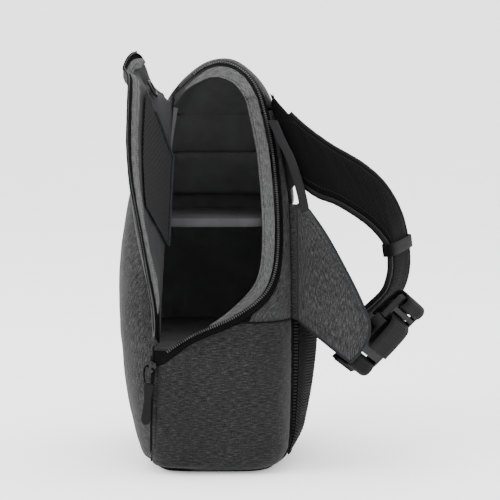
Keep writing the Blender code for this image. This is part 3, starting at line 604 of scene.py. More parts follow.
def turn_about_hinge(vectors, angle):
    """Vectors turned about the hinge line's direction, each by its own angle."""
    cos, sin = np.cos(angle)[..., None], np.sin(angle)[..., None]
    along = (vectors @ HINGE_AXIS)[..., None] * HINGE_AXIS
    return vectors * cos + np.cross(HINGE_AXIS, vectors) * sin + along * (1 - cos)


def swing_open(points):
    """Points of the closed flap, where they are with the flap open."""
    points = np.array(points, float)
    angle = -math.radians(FLAP_OPEN_DEG) * open_share(points)
    return turn_about_hinge(points - SEAM_FOOT, angle) + SEAM_FOOT


def swing_normals(points, normals):
    """The normals of the flap's points, turned open with them."""
    return turn_about_hinge(normals, -math.radians(FLAP_OPEN_DEG) * open_share(points))


def finish_piece(made, body, look_slot, *nodes, padded=None):
    """Attach a piece to its body (the flap's pieces are baked where they stand instead) and hide the nodes
    that it stands for; its look slot is not used.
    """
    if body == "flap":
        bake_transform(made)
    else:
        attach(made, body)
    if nodes:
        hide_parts(*nodes)
    return made


# ---------------------------------------------------------------- materials


STUDIO_GAIN = 0.155  # the studio is bright, so dyed cloth needs less of its own colour


class Look:
    """A Principled material under construction."""

    def __init__(self, name, roughness=0.85, sheen=0.0, specular=0.5, coat=0.0, metallic=0.0):
        self.material = bpy.data.materials.new(name)
        self.material.use_nodes = True
        self.tree = self.material.node_tree
        self.shader = self.tree.nodes["Principled BSDF"]
        self.shader.inputs["Roughness"].default_value = roughness
        self.shader.inputs["Sheen Weight"].default_value = sheen
        self.shader.inputs["Sheen Roughness"].default_value = 0.5
        self.shader.inputs["Specular IOR Level"].default_value = specular
        self.shader.inputs["Coat Weight"].default_value = coat
        self.shader.inputs["Metallic"].default_value = metallic
        self.coords = self.tree.nodes.new("ShaderNodeTexCoord")

    def link(self, start, end):
        self.tree.links.new(start, end)

    def place(self, source, scale, turn=0.0):
        mapping = self.tree.nodes.new("ShaderNodeMapping")
        mapping.inputs["Scale"].default_value = scale
        mapping.inputs["Rotation"].default_value = (0, 0, turn)
        self.link(self.coords.outputs[source], mapping.inputs["Vector"])
        return mapping.outputs["Vector"]

    def noise(self, source, scale, detail=3.0, rough=0.55):
        node = self.tree.nodes.new("ShaderNodeTexNoise")
        node.inputs["Scale"].default_value = 1.0
        node.inputs["Detail"].default_value = detail
        node.inputs["Roughness"].default_value = rough
        self.link(self.place(source, scale), node.inputs["Vector"])
        return node.outputs["Fac"]

    def wave(self, period_mm, turn=0.0):
        """Bands across the UV's first axis, this many millimetres apart."""
        node = self.tree.nodes.new("ShaderNodeTexWave")
        node.inputs["Scale"].default_value = UV_SIZE / period_mm * math.pi / 10
        self.link(self.place("UV", (1, 1, 1), turn), node.inputs["Vector"])
        return node.outputs["Fac"]

    def math(self, kind, a, b):
        node = self.tree.nodes.new("ShaderNodeMath")
        node.operation = kind
        for socket, value in zip(node.inputs, (a, b)):
            if isinstance(value, (int, float)):
                socket.default_value = value
            else:
                self.link(value, socket)
        return node.outputs[0]

    def ramp(self, factor, stops, gain=STUDIO_GAIN):
        node = self.tree.nodes.new("ShaderNodeValToRGB")
        while len(node.color_ramp.elements) < len(stops):
            node.color_ramp.elements.new(0.5)
        for element, (position, shade) in zip(node.color_ramp.elements, stops):
            element.position = position
            element.color = (*tint(shade, gain), 1)
        self.link(factor, node.inputs["Fac"])
        return node.outputs["Color"]

    def mix(self, factor, a, b, kind="MIX"):
        node = self.tree.nodes.new("ShaderNodeMix")
        node.data_type = "RGBA"
        node.blend_type = kind
        for socket, value in zip((node.inputs[0], node.inputs[6], node.inputs[7]), (factor, a, b)):
            if isinstance(value, (int, float)):
                socket.default_value = value
            else:
                self.link(value, socket)
        return node.outputs[2]

    def colour(self, output):
        self.link(output, self.shader.inputs["Base Color"])

    def roughen(self, factor, low, high):
        node = self.tree.nodes.new("ShaderNodeMapRange")
        node.inputs["To Min"].default_value = low
        node.inputs["To Max"].default_value = high
        self.link(factor, node.inputs["Value"])
        self.link(node.outputs["Result"], self.shader.inputs["Roughness"])

    def bump(self, *layers):
        """Each layer is (height output, depth in millimetres)."""
        normal = None
        for height, depth in layers:
            node = self.tree.nodes.new("ShaderNodeBump")
            node.inputs["Strength"].default_value = 1.0
            node.inputs["Distance"].default_value = depth * MM
            self.link(height, node.inputs["Height"])
            if normal is not None:
                self.link(normal, node.inputs["Normal"])
            normal = node.outputs["Normal"]
        self.link(normal, self.shader.inputs["Normal"])


def tint(shade, gain=STUDIO_GAIN):
    """A linear colour from a grey level or an (r, g, b), each 0 to 255 as seen on a screen."""
    values = (shade, shade, shade) if isinstance(shade, (int, float)) else shade
    return tuple(gain * (v / 255) ** 2.2 for v in values)


def weave_height(look, pitch=1.3, turn=0.0):
    """Over-and-under threads of a plain weave."""
    warp = look.wave(pitch, turn)
    weft = look.wave(pitch, turn + math.pi / 2)
    return look.math("MULTIPLY", warp, weft)


def heather_look(name, dark, light, along="v", roughness=0.88, sheen=0.25, streak=7.0):
    """Marl cloth: light and dark yarns streaked along the weave."""
    look = Look(name, roughness, sheen * 0.2, 0.12)
    fine, long = UV_SIZE / 0.7, UV_SIZE / streak
    scale = (long, fine, 1) if along == "u" else (fine, long, 1)
    cross = (fine, long * 1.6, 1) if along == "u" else (long * 1.6, fine, 1)
    yarn = look.noise("UV", scale, 3.0, 0.7)
    weft = look.noise("UV", cross, 3.0, 0.7)
    fleck = look.noise("UV", (fine * 0.8, fine * 0.8, 1), 2.0, 0.6)
    both = look.math("ADD", look.math("MULTIPLY", yarn, 0.6), look.math("MULTIPLY", weft, 0.16))
    both = look.math("ADD", both, look.math("MULTIPLY", fleck, 0.24))
    middle = tuple(0.58 * d + 0.42 * l for d, l in zip(dark, light))
    cloth = look.ramp(both, [(0.41, dark), (0.5, middle), (0.61, light)])
    worn = look.noise("Object", (14, 14, 14), 3.0, 0.5)
    shade = look.ramp(worn, [(0.3, 225), (0.7, 255)], 1.0)
    look.colour(look.mix(1.0, cloth, shade, "MULTIPLY"))
    creases = look.noise("Object", (42, 42, 26), 3.0, 0.45)
    look.bump((creases, 1.6), (weave_height(look), 0.16), (yarn, 0.12))
    look.roughen(yarn, roughness - 0.1, min(roughness + 0.08, 1.0))
    return look.material


def nylon_look(name, dark, light, roughness=0.6, pitch=0.8, crease=1.0, sheen=0.15):
    """Smooth packcloth with a fine weave and soft creases."""
    look = Look(name, roughness, sheen * 0.1, 0.08)
    cloud = look.noise("Object", (26, 26, 26), 4.0, 0.55)
    look.colour(look.ramp(cloud, [(0.3, dark), (0.72, light)]))
    creases = look.noise("Object", (60, 60, 34), 2.5, 0.4)
    look.bump((creases, 1.5 * crease), (weave_height(look, pitch), 0.12))
    look.roughen(cloud, roughness - 0.08, roughness + 0.1)
    return look.material


def ribbed_look(name, dark, light, rib, knit, turn, roughness, depth):
    """Spacer mesh: ribs one way, with small knitted holes along them, coloured with painted shade in the
    valleys and holes.
    """
    look = Look(name, roughness, 0.0, 0.04)
    ribs = look.wave(rib, turn)
    holes = look.math("MULTIPLY", look.wave(knit, turn + math.pi / 4), look.wave(knit, turn - math.pi / 4))
    height = look.math("ADD", look.math("MULTIPLY", ribs, 0.75), look.math("MULTIPLY", holes, 0.25))
    # The colour follows the relief: painted shade in the rib valleys and knit holes, painted highlight on the
    # ridges.
    look.colour(look.ramp(height, [(0.12, dark), (0.85, light)]))
    look.bump((ribs, depth), (holes, 0.25))
    return look.material


def webbing_look(name, dark, light, rib=1.5, turn=0.0, roughness=0.62):
    """Woven webbing: ribs crossed by a twill."""
    look = Look(name, roughness, 0.0, 0.05)
    ribs = look.wave(rib, turn)
    twill = look.wave(rib * 0.8, turn + math.radians(62))
    both = look.math("ADD", look.math("MULTIPLY", ribs, 0.6), look.math("MULTIPLY", twill, 0.4))
    cloud = look.noise("Object", (90, 90, 90), 3.0, 0.5)
    threads = look.ramp(both, [(0.1, dark), (0.9, light)])
    worn = look.ramp(cloud, [(0.3, dark), (0.7, light)])
    look.colour(look.mix(0.25, threads, worn))
    look.bump((both, 0.3))
    return look.material


def hard_look(name, dark, light, roughness=0.4, metallic=0.0, grain=420.0, depth=0.08, coat=0.0):
    """Moulded or cast, with a fine grain and slightly uneven polish."""
    look = Look(name, roughness, 0.0, 0.13, coat, metallic)
    cloud = look.noise("Object", (70, 70, 70), 4.0, 0.6)
    fine = look.noise("Object", (grain * 4, grain * 4, grain * 4), 2.0, 0.5)
    look.colour(look.ramp(cloud, [(0.3, dark), (0.75, light)]))
    look.bump((cloud, depth * 2), (fine, depth))
    look.roughen(cloud, roughness - 0.06, roughness + 0.1)
    return look.material


# One heather cloth in three brightnesses for how the light falls: the across copy (near lower side and crown)
# is darkened as painted shade; the upright copy (front, far side, rear strip, wing) and the flap copy are
# lightened as painted light.
HEATHER_SHADED = heather_look("heather_across_painted_shade", (26, 26, 27), (122, 122, 124), "u")
HEATHER_UP_LIT = heather_look("heather_upright_painted_light", (40, 40, 41), (162, 162, 164), "v")
HEATHER_FLAP_LIT = heather_look("heather_flap_painted_light", (42, 42, 43), (152, 152, 154), "v")
DARK = nylon_look("dark_packcloth", (30, 30, 31), (46, 46, 48), 0.62)
STRIP = nylon_look("smooth_strip", (50, 50, 52), (70, 70, 73), 0.5, 0.8, 0.5)
# One grey lining in three brightnesses for how light reaches it: the grey copy inside the bag is lightened as
# painted light, because the inside is lit only through the opening; the flap and hinge copies are darker as
# painted shade, darkest in the hinge's crease.
LINING_LIT = nylon_look("lining_grey_painted_light", (128, 128, 130), (158, 158, 161), 0.6, 0.9, 1.2)
LINING_FLAP_SHADED = nylon_look("lining_flap_painted_shade", (84, 84, 86), (108, 108, 111), 0.58, 0.9, 1.3)
LINING_HINGE_SHADED = nylon_look("lining_hinge_painted_shade", (54, 54, 55), (72, 72, 74), 0.7, 0.9, 1.2)
PALE = heather_look("pale_facing", (120, 120, 121), (222, 222, 223), "v", 0.85, 0.3, 6.0)
POCKET = ribbed_look("pocket_mesh", (8, 8, 9), (124, 124, 126), 3.4, 1.7, math.pi / 4, 0.8, 0.2)
RIBBED = ribbed_look("back_ribs", (10, 10, 11), (104, 104, 106), RIB_PITCH, 1.6, math.pi / 2, 0.8, 0.5)
STRAP_FACE = ribbed_look("strap_mesh", (2, 2, 3), (36, 36, 38), 3.0, 1.5, math.radians(55), 0.78, 0.35)
EDGE = nylon_look("rolled_edge", (14, 14, 15), (28, 28, 30), 0.42, 0.7, 0.6)
TAPE = webbing_look("zip_tape", (3, 3, 4), (18, 18, 20), 1.9, math.pi / 2)
TEETH = hard_look("coil_teeth", (120, 120, 122), (176, 176, 180), 0.34)
WEBBING = webbing_look("webbing_black", (6, 6, 7), (24, 24, 26), 2.2, math.pi / 2)
WEBBING_GREY = webbing_look("webbing_grey", (30, 30, 32), (64, 64, 66), 2.4, math.pi / 2)
BINDING = webbing_look("binding_tape", (66, 67, 70), (104, 105, 109), 1.0, math.pi / 2, 0.7)
SEAM = nylon_look("seam_roll", (18, 18, 19), (32, 32, 34), 0.8)
THREAD = nylon_look("thread", (62, 62, 64), (92, 92, 94), 0.7)
THREAD_DARK = nylon_look("thread_dark", (20, 20, 22), (42, 43, 45), 0.7)
PLASTIC = hard_look("buckle_plastic", (6, 6, 7), (15, 15, 16), 0.5)
METAL = hard_look("slider_metal", (22, 22, 24), (60, 61, 64), 0.26, 0.85, coat=0.4)
EYELET = hard_look("eyelet_metal", (12, 12, 13), (24, 24, 26), 0.32, 0.4)
RUBBER = hard_look("pull_rubber", (16, 16, 17), (28, 28, 30), 0.5)
RUBBER_DARK = hard_look("eyelet_flaps", (14, 14, 15), (24, 24, 26), 0.7)
BOARD = hard_look("board_plain", (60, 58, 54), (82, 80, 75), 0.8)

INSIDE = np.array([4.0, 0.0, 180.0])


# ---------------------------------------------------------------- soft panels


def relief(grid, swell, pucker, seed, roll=9.0, valley=0.5, reach_in=14.0, grain=5.0):
    """How far padded cloth stands off its pattern: full in the middle, drawn in at the seams."""
    u, v, ru, rv = cloth_lengths(grid)
    near_u, near_v = np.minimum(u, ru), np.minimum(v, rv)
    edge = np.minimum(near_u, near_v)
    lift = swell * (1 - np.exp(-edge / roll)) - valley * np.exp(-edge / 1.8)
    stretched_u = np.stack([u / 36, v / grain, np.zeros_like(u)], axis=2)
    stretched_v = np.stack([u / grain, v / 36, np.zeros_like(u)], axis=2)
    pull_u = lumps(stretched_u, 1.0, seed) * np.exp(-near_u / reach_in)
    pull_v = lumps(stretched_v, 1.0, seed + 9) * np.exp(-near_v / reach_in)
    broad = lumps(grid, 46.0, seed + 3) * 0.45 + lumps(grid, 19.0, seed + 5) * 0.22
    fade = 1 - np.exp(-edge / 7)
    return lift + pucker * (pull_u + pull_v) * (1 - 0.7 * np.exp(-edge / 1.5)) + swell * broad * fade


def soft_panel(name, coarse, size, base, thick, look, swell, pucker, seed, swing=False, **kw):
    """A closed padded sheet on a grid of skin points; base is its depth under the skin."""
    fine = refine(np.array(coarse), *size)
    normals = grid_normals(fine, INSIDE)
    lift = relief(fine, swell, pucker, seed, **kw)[..., None]
    outer = fine + normals * (lift - base)
    inner = fine - normals * (base + thick)
    if swing:
        outer, inner = swing_open(outer), swing_open(inner)
    return layer_between(name, outer, inner, look, level=not swing)


def soft_lining(name, coarse, size, deep, look, outer_depth, swell, pucker, seed):
    """A lining that faces into the bag, over foam: its relief stands inwards."""
    fine = refine(np.array(coarse), *size)
    normals = grid_normals(fine, INSIDE)
    lift = relief(fine, swell, pucker, seed)[..., None]
    return layer_between(name, fine - normals * (deep + lift), fine - normals * outer_depth, look)


def seam_roll(name, path, radius=0.9, sink=0.2):
    """The rolled cloth of a seam of the bag's shell, sunk a little into it."""
    path = np.array(path)
    path = path - np.array([skin_normal(p) for p in path]) * sink
    made = cord_piece(name, path, radius, SEAM, up=(0.31, 0.83, 0.46), sides=8)
    finish_piece(made, "bag_body", "binding")


def skin_curve(angle, low, high, count):
    """A curve on the skin, from its angle at each height."""
    return [at_angle(angle(z), z) for z in np.linspace(low, high, count)]


def taper(index, first, last, runs):
    """1 along most of a strip, falling smoothly over so many stations at its first and last end."""
    rise, fall = runs
    t = min(1.0, (index - first) / rise if rise else 1.0, (last - index) / fall if fall else 1.0)
    return 0.12 + 0.88 * math.sin(t * math.pi / 2)


def rim_band(name, section, first, last, look, swing=False, steps=4, wave=0.0, seed=0.0, runs=(0, 0)):
    """A strip along the rim: section is (distance into the opening, depth under the skin)."""
    stations = np.linspace(first, last, (last - first) * steps + 1)
    rows = []
    for index in range(first, last + 1):
        row = []
        narrow = taper(index, first, last, runs)
        for distance, depth in section:
            point = rim_offset(index, section[0][0] + (distance - section[0][0]) * narrow)
            depth = section[0][1] + (depth - section[0][1]) * narrow
            if swing:
                point = hold_off_seam(point)
            row.append(point - skin_normal(point) * depth)
        rows.append(row)
    rows = refine_axis(np.array(rows), len(stations))
    if wave:
        middle = rows.mean(axis=1, keepdims=True)
        normals = np.array([skin_normal(p[0]) for p in middle])[:, None, :]
        rows = rows + normals * (lumps(rows, 9.0, seed) * wave)[..., None]
    if swing:
        rows = swing_open(rows)
    return sweep(name, rows, look)


def rim_line(distance, depth, first, last, steps=4, swing=False):
    """Points and outward normals along the rim."""
    points, normals = [], []
    for index in range(first, last + 1):
        point = rim_offset(index, distance)
        if swing:
            point = hold_off_seam(point)
        normal = skin_normal(point)
        points.append(point - normal * depth)
        normals.append(normal)
    count = (last - first) * steps + 1
    points, normals = refine_axis(np.array(points), count), refine_axis(np.array(normals), count)
    if swing:
        points, normals = swing_open(points), swing_normals(points, normals)
    return points, normals / np.linalg.norm(normals, axis=1, keepdims=True)


def rounded_section(low, high, top, bottom, round_off=0.35):
    """A flat strip's section with eased corners."""
    return [
        (low, (top + bottom) / 2), (low + round_off, top), (high - round_off, top),
        (high, (top + bottom) / 2), (high - round_off, bottom), (low + round_off, bottom),
    ]  # fmt: skip


# ---------------------------------------------------------------- the bag's shell


def build_shell():
    walls = {
        "front": (wrap_grid(far_front, near_front, 2.0, PANEL_TOP, 16, 14), (110, 120), HEATHER_UP_LIT),
        "far_side": (wrap_grid(far_back, far_front, 2.0, FAR_TOP, 9, 13), (90, 110), HEATHER_UP_LIT),
        "back": (wrap_grid(lambda z: near_back(z) - 360, far_back, 2.0, BACK_TOP, 9, 12), (70, 100), DARK),
        "near_lower": (wrap_grid(near_front, near_back, 2.0, leg_height, 16, 10), (180, 130), HEATHER_SHADED),
    }
    swells = {"front": 2.2, "far_side": 2.2, "back": 0.3, "near_lower": 1.3}
    for number, (name, (grid, size, look)) in enumerate(walls.items()):
        slot = "dark_fabric" if name == "back" else "heather"
        roll = 8.0 if name == "near_lower" else 12.0
        shape = (swells[name], 0.55, number * 7.0)
        made = soft_panel(name + "_cloth", grid, size, 0.3, CLOTH, look, *shape, roll=roll)
        finish_piece(made, "bag_body", slot, name + "_panel")
        wall = np.array(grid)[:, 1:]
        lined = soft_lining(name + "_padding", wall, (70, 80), 7.6, LINING_LIT, 1.9, 0.9, 0.5, 31 + number)
        finish_piece(lined, "bag_body", "lining", name + "_foam", name + "_lining", padded=0.7)
    strip = rear_strip_grid()
    strip = soft_panel("rear_strip_cloth", strip, (40, 160), 0.3, CLOTH, HEATHER_UP_LIT, 0.9, 0.35, 3.0, roll=4.0)
    finish_piece(strip, "bag_body", "heather", "near_rear_strip")
    crown = crown_grid()
    crown_cloth = soft_panel("crown_cloth", crown, (80, 110), 0.3, CLOTH, HEATHER_SHADED, 1.4, 0.5, 4.0, roll=6.0)
    finish_piece(crown_cloth, "bag_body", "heather", "crown_panel")
    short = np.array(crown)[:, 1:-2]
    under = soft_lining("crown_padding", short, (60, 80), 7.4, LINING_LIT, 2.0, 1.2, 0.7, 5.0)
    finish_piece(under, "bag_body", "lining", "crown_lining", padded=0.5)


def build_seams():
    seam_roll("seam_near_front", skin_curve(near_front, 3, SEAM_FOOT[2], 60), radius=1.0)
    hinge = [seam_at(z) for z in np.linspace(SEAM_FOOT[2], SEAM_HEAD[2], 120)]
    seam_roll("seam_hinge", hinge, radius=0.9, sink=0.6)
    seam_roll("seam_near_back", skin_curve(near_back, 3, BACK_TOP, 160), radius=1.1)
    seam_roll("seam_far_back", skin_curve(far_back, 3, BACK_TOP, 140), radius=1.2)
    seam_roll("seam_far_front", skin_curve(far_front, 3, FAR_TOP, 140), radius=1.2)
    ring = [at_angle(angle, 2.6) for angle in np.linspace(0, 360, 240)]
    seam_roll("seam_base", ring, radius=1.1)
    start, end = near_angle(CROSS_SEAM_LEFT, REAR_STRIP_FOOT), near_back(REAR_STRIP_FOOT)
    cross = [at_angle(a, REAR_STRIP_FOOT) for a in np.linspace(start, end, 40)]
    seam_roll("seam_cross", cross, radius=0.8)
    collar = np.array(crown_grid(3, 60))[-1]
    seam_roll("seam_crown", collar, radius=1.0)
    for name, angle, low, high, offset in (
        ("stitch_near_back", near_back, 150, BACK_TOP - 4, -2.2),
        ("stitch_near_front", near_front, 24, SEAM_FOOT[2] - 6, 2.6),
        ("stitch_far_front", far_front, 24, FAR_TOP - 4, 3.0),
    ):
        path = [at_angle(angle(z) + offset, z) for z in np.linspace(low, high, 90)]
        normals = [skin_normal(p) for p in path]
        path = [p + n * 0.35 for p, n in zip(path, normals)]
        made = stitch_line(name, path, normals, THREAD_DARK)
        finish_piece(made, "bag_body", "binding")


def build_underlays():
    """The allowance under the crown's edge, and tape patches at the zip's end and the cross seam."""
    low, high = near_back(BACK_TOP) - 359, near_front(PANEL_TOP) - 1
    angles = np.linspace(low, high, 120)
    grid = np.array([[at_angle(a, collar_height(a) + h) for h in np.linspace(-13, 7, 8)] for a in angles])
    normals = grid_normals(grid, INSIDE)
    made = layer_between("crown_allowance", grid - normals * 1.2, grid - normals * 1.8, SEAM)
    finish_piece(made, "bag_body", "dark_fabric")
    patches = {
        "zip_end_patch": ((-60, -46), (103, 119)),
        "cross_seam_patch": ((CROSS_SEAM_LEFT - 5, CROSS_SEAM_LEFT + 9), (136, 152)),
    }
    for name, (x, z) in patches.items():
        grid = np.array([[near_side(a, b) for b in np.linspace(*z, 12)] for a in np.linspace(*x, 12)])
        normals = grid_normals(grid, INSIDE)
        made = layer_between(name, grid - normals * 1.0, grid - normals * 2.2, TAPE)
        finish_piece(made, "bag_body", "tape")


def section_ring(z, inset, count=96):
    """The bag's outline at this height, moved in by inset."""
    ring = []
    for k in range(count):
        point = at_angle(360 * k / count, max(z, 0.5))
        normal = skin_normal(np.array([point[0], point[1], max(z, 30.0)]))
        flat = np.array([normal[0], normal[1], 0.0])
        flat /= np.linalg.norm(flat)
        ring.append(np.array([point[0], point[1], z]) - flat * inset)
    return np.array(ring)


def cushion(name, ring, low, high, look, body, node, swell=3.0, seed=0.0, rings=16):
    """A padded slab inside an outline: flat underneath, domed and slightly creased on top."""
    ring = np.array(ring)
    centre = ring.mean(axis=0)
    layers = []
    thick = high - low

    def level(share, height):
        layer = centre + (ring - centre) * share
        layer[:, 2] = height
        return layer

    for share in np.linspace(0.02, 0.97, rings):
        layers.append(level(share, low))
    for turn in np.linspace(-0.42, 0.42, 9) * math.pi:
        height = (low + high) / 2 + thick / 2 * math.sin(turn)
        layers.append(level(0.982 + 0.018 * math.cos(turn), height))
    top = []
    for share in np.linspace(0.972, 0.02, rings * 2):
        layer = level(share, high)
        span = 1 - np.exp(-(1 - share) * 60 / 9)
        layer[:, 2] += swell * span * 0.6
        crease = lumps(layer, 24.0, seed) * 0.9 + lumps(layer, 9.0, seed + 4) * 0.3
        layer[:, 2] += crease * swell * 0.35 * span
        top.append(layer)
    made = sweep(name, np.array(layers + top), look)
    uv = made.data.uv_layers.active.data
    corner = np.zeros(len(made.data.loops), int)
    made.data.loops.foreach_get("vertex_index", corner)
    co = np.array([v.co[:2] for v in made.data.vertices]) / MM / UV_SIZE
    uv.foreach_set("uv", co[corner].ravel())
    return finish_piece(made, body, "lining", node, padded=0.75)


def clear_of_hinge(ring, distance):
    """The ring kept back from the near side, where the closed flap lies."""
    moved = []
    for point in ring:
        limit = -near_width(point[2]) + 9.4 + distance
        moved.append(np.array([point[0], max(point[1], limit), point[2]]))
    return np.array(moved)


FLOOR_TOP = 120.0
FLOOR_THICK = 8.0
SHELF_LOW = 229.0
SHELF_THICK = 8.0
SHELF_SLIDE = 12.0
SHELF_REACH = SHELF_LOW + SHELF_THICK + SHELF_SLIDE  # its top at the slide's upper limit
LENS_WALL_HEIGHT = 44.0


def build_cells():
    ring = clear_of_hinge(section_ring(FLOOR_TOP, 10.4), 6)
    under = FLOOR_TOP - FLOOR_THICK
    cushion("floor_cushion", ring, under, FLOOR_TOP, LINING_LIT, "bag_body", "divider_floor", 2.4, 1.0)
    ring = clear_of_hinge(section_ring(SHELF_REACH, 17.9), 8)
    top = SHELF_LOW + SHELF_THICK
    cushion("shelf_cushion", ring, SHELF_LOW, top, LINING_LIT, "shelf", "lens_shelf", 1.4, 2.0)
    grid = []
    for i in range(14):
        row = []
        for j in range(5):
            z = SHELF_REACH + 7 + LENS_WALL_HEIGHT * j / 4
            low, high = -26, near_front(z) - 16
            row.append(at_angle(low + (high - low) * i / 13, z))
        grid.append(row)
    fine = refine(np.array(grid), 130, 40)
    normals = grid_normals(fine, INSIDE)
    lift = relief(fine, 1.6, 0.5, 8.0, roll=4.0, valley=1.2)[..., None]
    face, back = fine - normals * (16.4 + lift), fine - normals * (12.0 - lift * 0.3)
    made = layer_between("lens_wall_padding", face, back, LINING_LIT)
    finish_piece(made, "bag_body", "lining", "lens_cell_wall", padded=0.7)


# Sections of the bands along the rim: distance toward the opening, and depth under the skin.
RIM_FACING = [
    (0.3, 2.4), (1.4, 3.6), (2.6, 5.4), (5.0, 7.6), (8.0, 9.0), (11.0, 9.8),
    (11.4, 10.6), (8.0, 10.2), (4.0, 9.0), (1.4, 6.6), (-0.2, 4.0), (-0.4, 2.8),
]  # fmt: skip


def build_rim():
    section = rounded_section(-TAPE_WIDTH, -0.4, -0.5, 0.4)
    tape = rim_band("rim_tape_cloth", section, 1, RIM_COUNT - 2, TAPE, wave=0.25)
    finish_piece(tape, "bag_body", "tape", "rim_zip_tape")
    points, normals = rim_line(-1.8, -1.1, 2, RIM_COUNT - 5, 8)
    finish_piece(teeth("rim_teeth", points, normals), "bag_body", "coil", "rim_zip_coil")
    last = RIM_COUNT - 3
    facing = rim_band("rim_facing_cloth", RIM_FACING, 9, last, PALE, wave=0.35, seed=3.0, runs=(9, 9))
    finish_piece(facing, "bag_body", "pale", "rim_facing")
    for name, distance, depth in (("rim_stitch_tape", -6.6, -0.85), ("rim_stitch_facing", 9.0, 8.9)):
        points, normals = rim_line(distance, depth, 14 if depth > 0 else 2, RIM_COUNT - 5, 4)
        side = normals if depth < 0 else -normals
        made = stitch_line(name, points, side, THREAD_DARK if depth < 0 else THREAD, 2.8, 0.95, 0.26)
        finish_piece(made, "bag_body", "tape")


def teeth(name, points, normals):
    """The coil of a nylon zip: one rounded tooth for each turn."""
    steps = np.concatenate([[0.0], np.cumsum(np.linalg.norm(np.diff(points, axis=0), axis=1))])
    wanted = np.arange(TOOTH_PITCH, steps[-1] - TOOTH_PITCH, TOOTH_PITCH)
    at = np.array([np.interp(wanted, steps, c) for c in points.T]).T
    up = np.array([np.interp(wanted, steps, c) for c in normals.T]).T
    run = np.array([np.interp(wanted + 0.6, steps, c) for c in points.T]).T - at
    run /= np.linalg.norm(run, axis=1, keepdims=True)
    across = np.cross(up, run)
    across /= np.linalg.norm(across, axis=1, keepdims=True)
    return many(name, at, across, run, TOOTH_SIZE, TEETH)


def build_back():
    swell = curve_through([(14, 2.5), (34, 9), (58, 13), (106, 19), (140, 20), (195, 13), (236, 2.5)])
    outer, inner = [], []
    rows, columns = 74 * 6, 54
    for i in range(columns):
        share = i / (columns - 1)
        outer.append([])
        inner.append([])
        for j in range(0, 13):
            z = 14 + (236 - 14) * j / 12
            low = -0.97 * (360 - near_back(z))
            point = at_angle(low + (0.80 * far_back(z) - low) * share, z)
            normal = skin_normal(point)
            edge = min(1.0, 6 * share, 6 * (1 - share)) ** 0.5
            outer[-1].append(point + normal * (1.6 + swell(z) * (0.25 + 0.75 * edge) - 0.4))
            inner[-1].append(point + normal * 1.0)
    outer, inner = refine(np.array(outer), columns, rows), refine(np.array(inner), columns, rows)
    normals = grid_normals(outer, INSIDE)
    ribs = np.abs(np.sin(math.pi * cloth_lengths(outer)[1] / RIB_PITCH))
    fade = np.clip(edge_distance(outer) / 6, 0, 1)
    lift = (ribs - 0.5) * 0.9 * fade + lumps(outer, 30.0, 2.0) * 0.5 * fade
    made = layer_between("back_pad_ribs", outer + normals * lift[..., None], inner, RIBBED)
    finish_piece(made, "bag_body", "mesh", "back_mesh_pad", padded=0.8)
    path = even(around(outer + normals * 0.1), 300)
    edge = cord_piece("back_pad_piping", path, 0.6, SEAM, up=(0.9, 0.2, 0.3), sides=8)
    finish_piece(edge, "bag_body", "binding")
    grid = []
    for i in range(7):
        grid.append([])
        for j in range(6):
            z = 250 + (338 - 250) * j / 5
            low = -0.9 * (360 - near_back(z))
            grid[-1].append(at_angle(low + (0.9 * far_back(z) - low) * i / 6, z))
    yoke = soft_panel("yoke_cloth", grid, (70, 60), -1.5, 1.0, STRIP, 0.8, 0.3, 6.0, roll=5.0)
    finish_piece(yoke, "bag_body", "dark_fabric", "back_yoke")


def build_base():
    layers = []
    ring = section_ring(0.6, 0.8)
    centre = ring.mean(axis=0)
    profile = [(0.03, 0.0), (0.35, 0.0), (0.7, 0.0), (0.93, 0.0), (0.985, 0.15), (1.0, 0.7)]
    profile += [(1.0, 1.3), (0.985, 1.6), (0.9, 1.6), (0.5, 1.6), (0.03, 1.6)]
    for share, height in profile:
        layer = centre + (ring - centre) * share
        layer[:, 2] = height
        layers.append(layer)
    made = sweep("base_cloth", layers, DARK)
    finish_piece(made, "bag_body", "dark_fabric", "base_panel")


def build_tab():
    """A loop of webbing sewn flat low on the front."""
    path = []
    for z in np.linspace(25, 47, 20):
        base = at_angle(196, z)
        bow = 1.4 * math.sin(math.pi * (z - 25) / 22)
        path.append(base + np.array([-2.0 - bow, 0, 0]))
    section = [(0.6, -7), (0.6, -3), (0.6, 3), (0.6, 7), (0.0, 7.5)]
    section += [(-0.8, 7), (-0.9, 3), (-0.9, -3), (-0.8, -7), (0.0, -7.5)]
    rings = [[point + np.array([t, w, 0]) for t, w in section] for point in path]
    made = sweep("front_tab_webbing", rings, WEBBING)
    finish_piece(made, "bag_body", "webbing", "front_tab")


# ---------------------------------------------------------------- the flap


def flap_boundary(distance, count):
    """The closed flap's hinge side and rim side, count points each."""
    rim = np.array([rim_offset(i, distance) for i in range(1, RIM_COUNT)])
    rim = np.array([p for p in rim if p[0] > seam_at(min(p[2], SEAM_HEAD[2]))[0] + 4])
    rim = smooth_path(rim, count)
    hinge = []
    for k in range(count):
        share = 0.05 + 0.915 * k / (count - 1)
        hinge.append(SEAM_FOOT + (SEAM_HEAD - SEAM_FOOT) * share + np.array([1.4, 0, 0]))
    return hinge, rim


def flap_grid(distance, rows=20, columns=10, low=0.0, high=1.0):
    """Points of the closed flap, from its hinge side to its rim side."""
    hinge, rim = flap_boundary(distance, rows)
    grid = []
    for start, end in zip(hinge, rim):
        row = []
        for j in range(columns):
            share = low + (high - low) * j / (columns - 1)
            x, _, z = start + (end - start) * share
            row.append(near_side(x, z))
        grid.append(row)
    return np.array(grid)


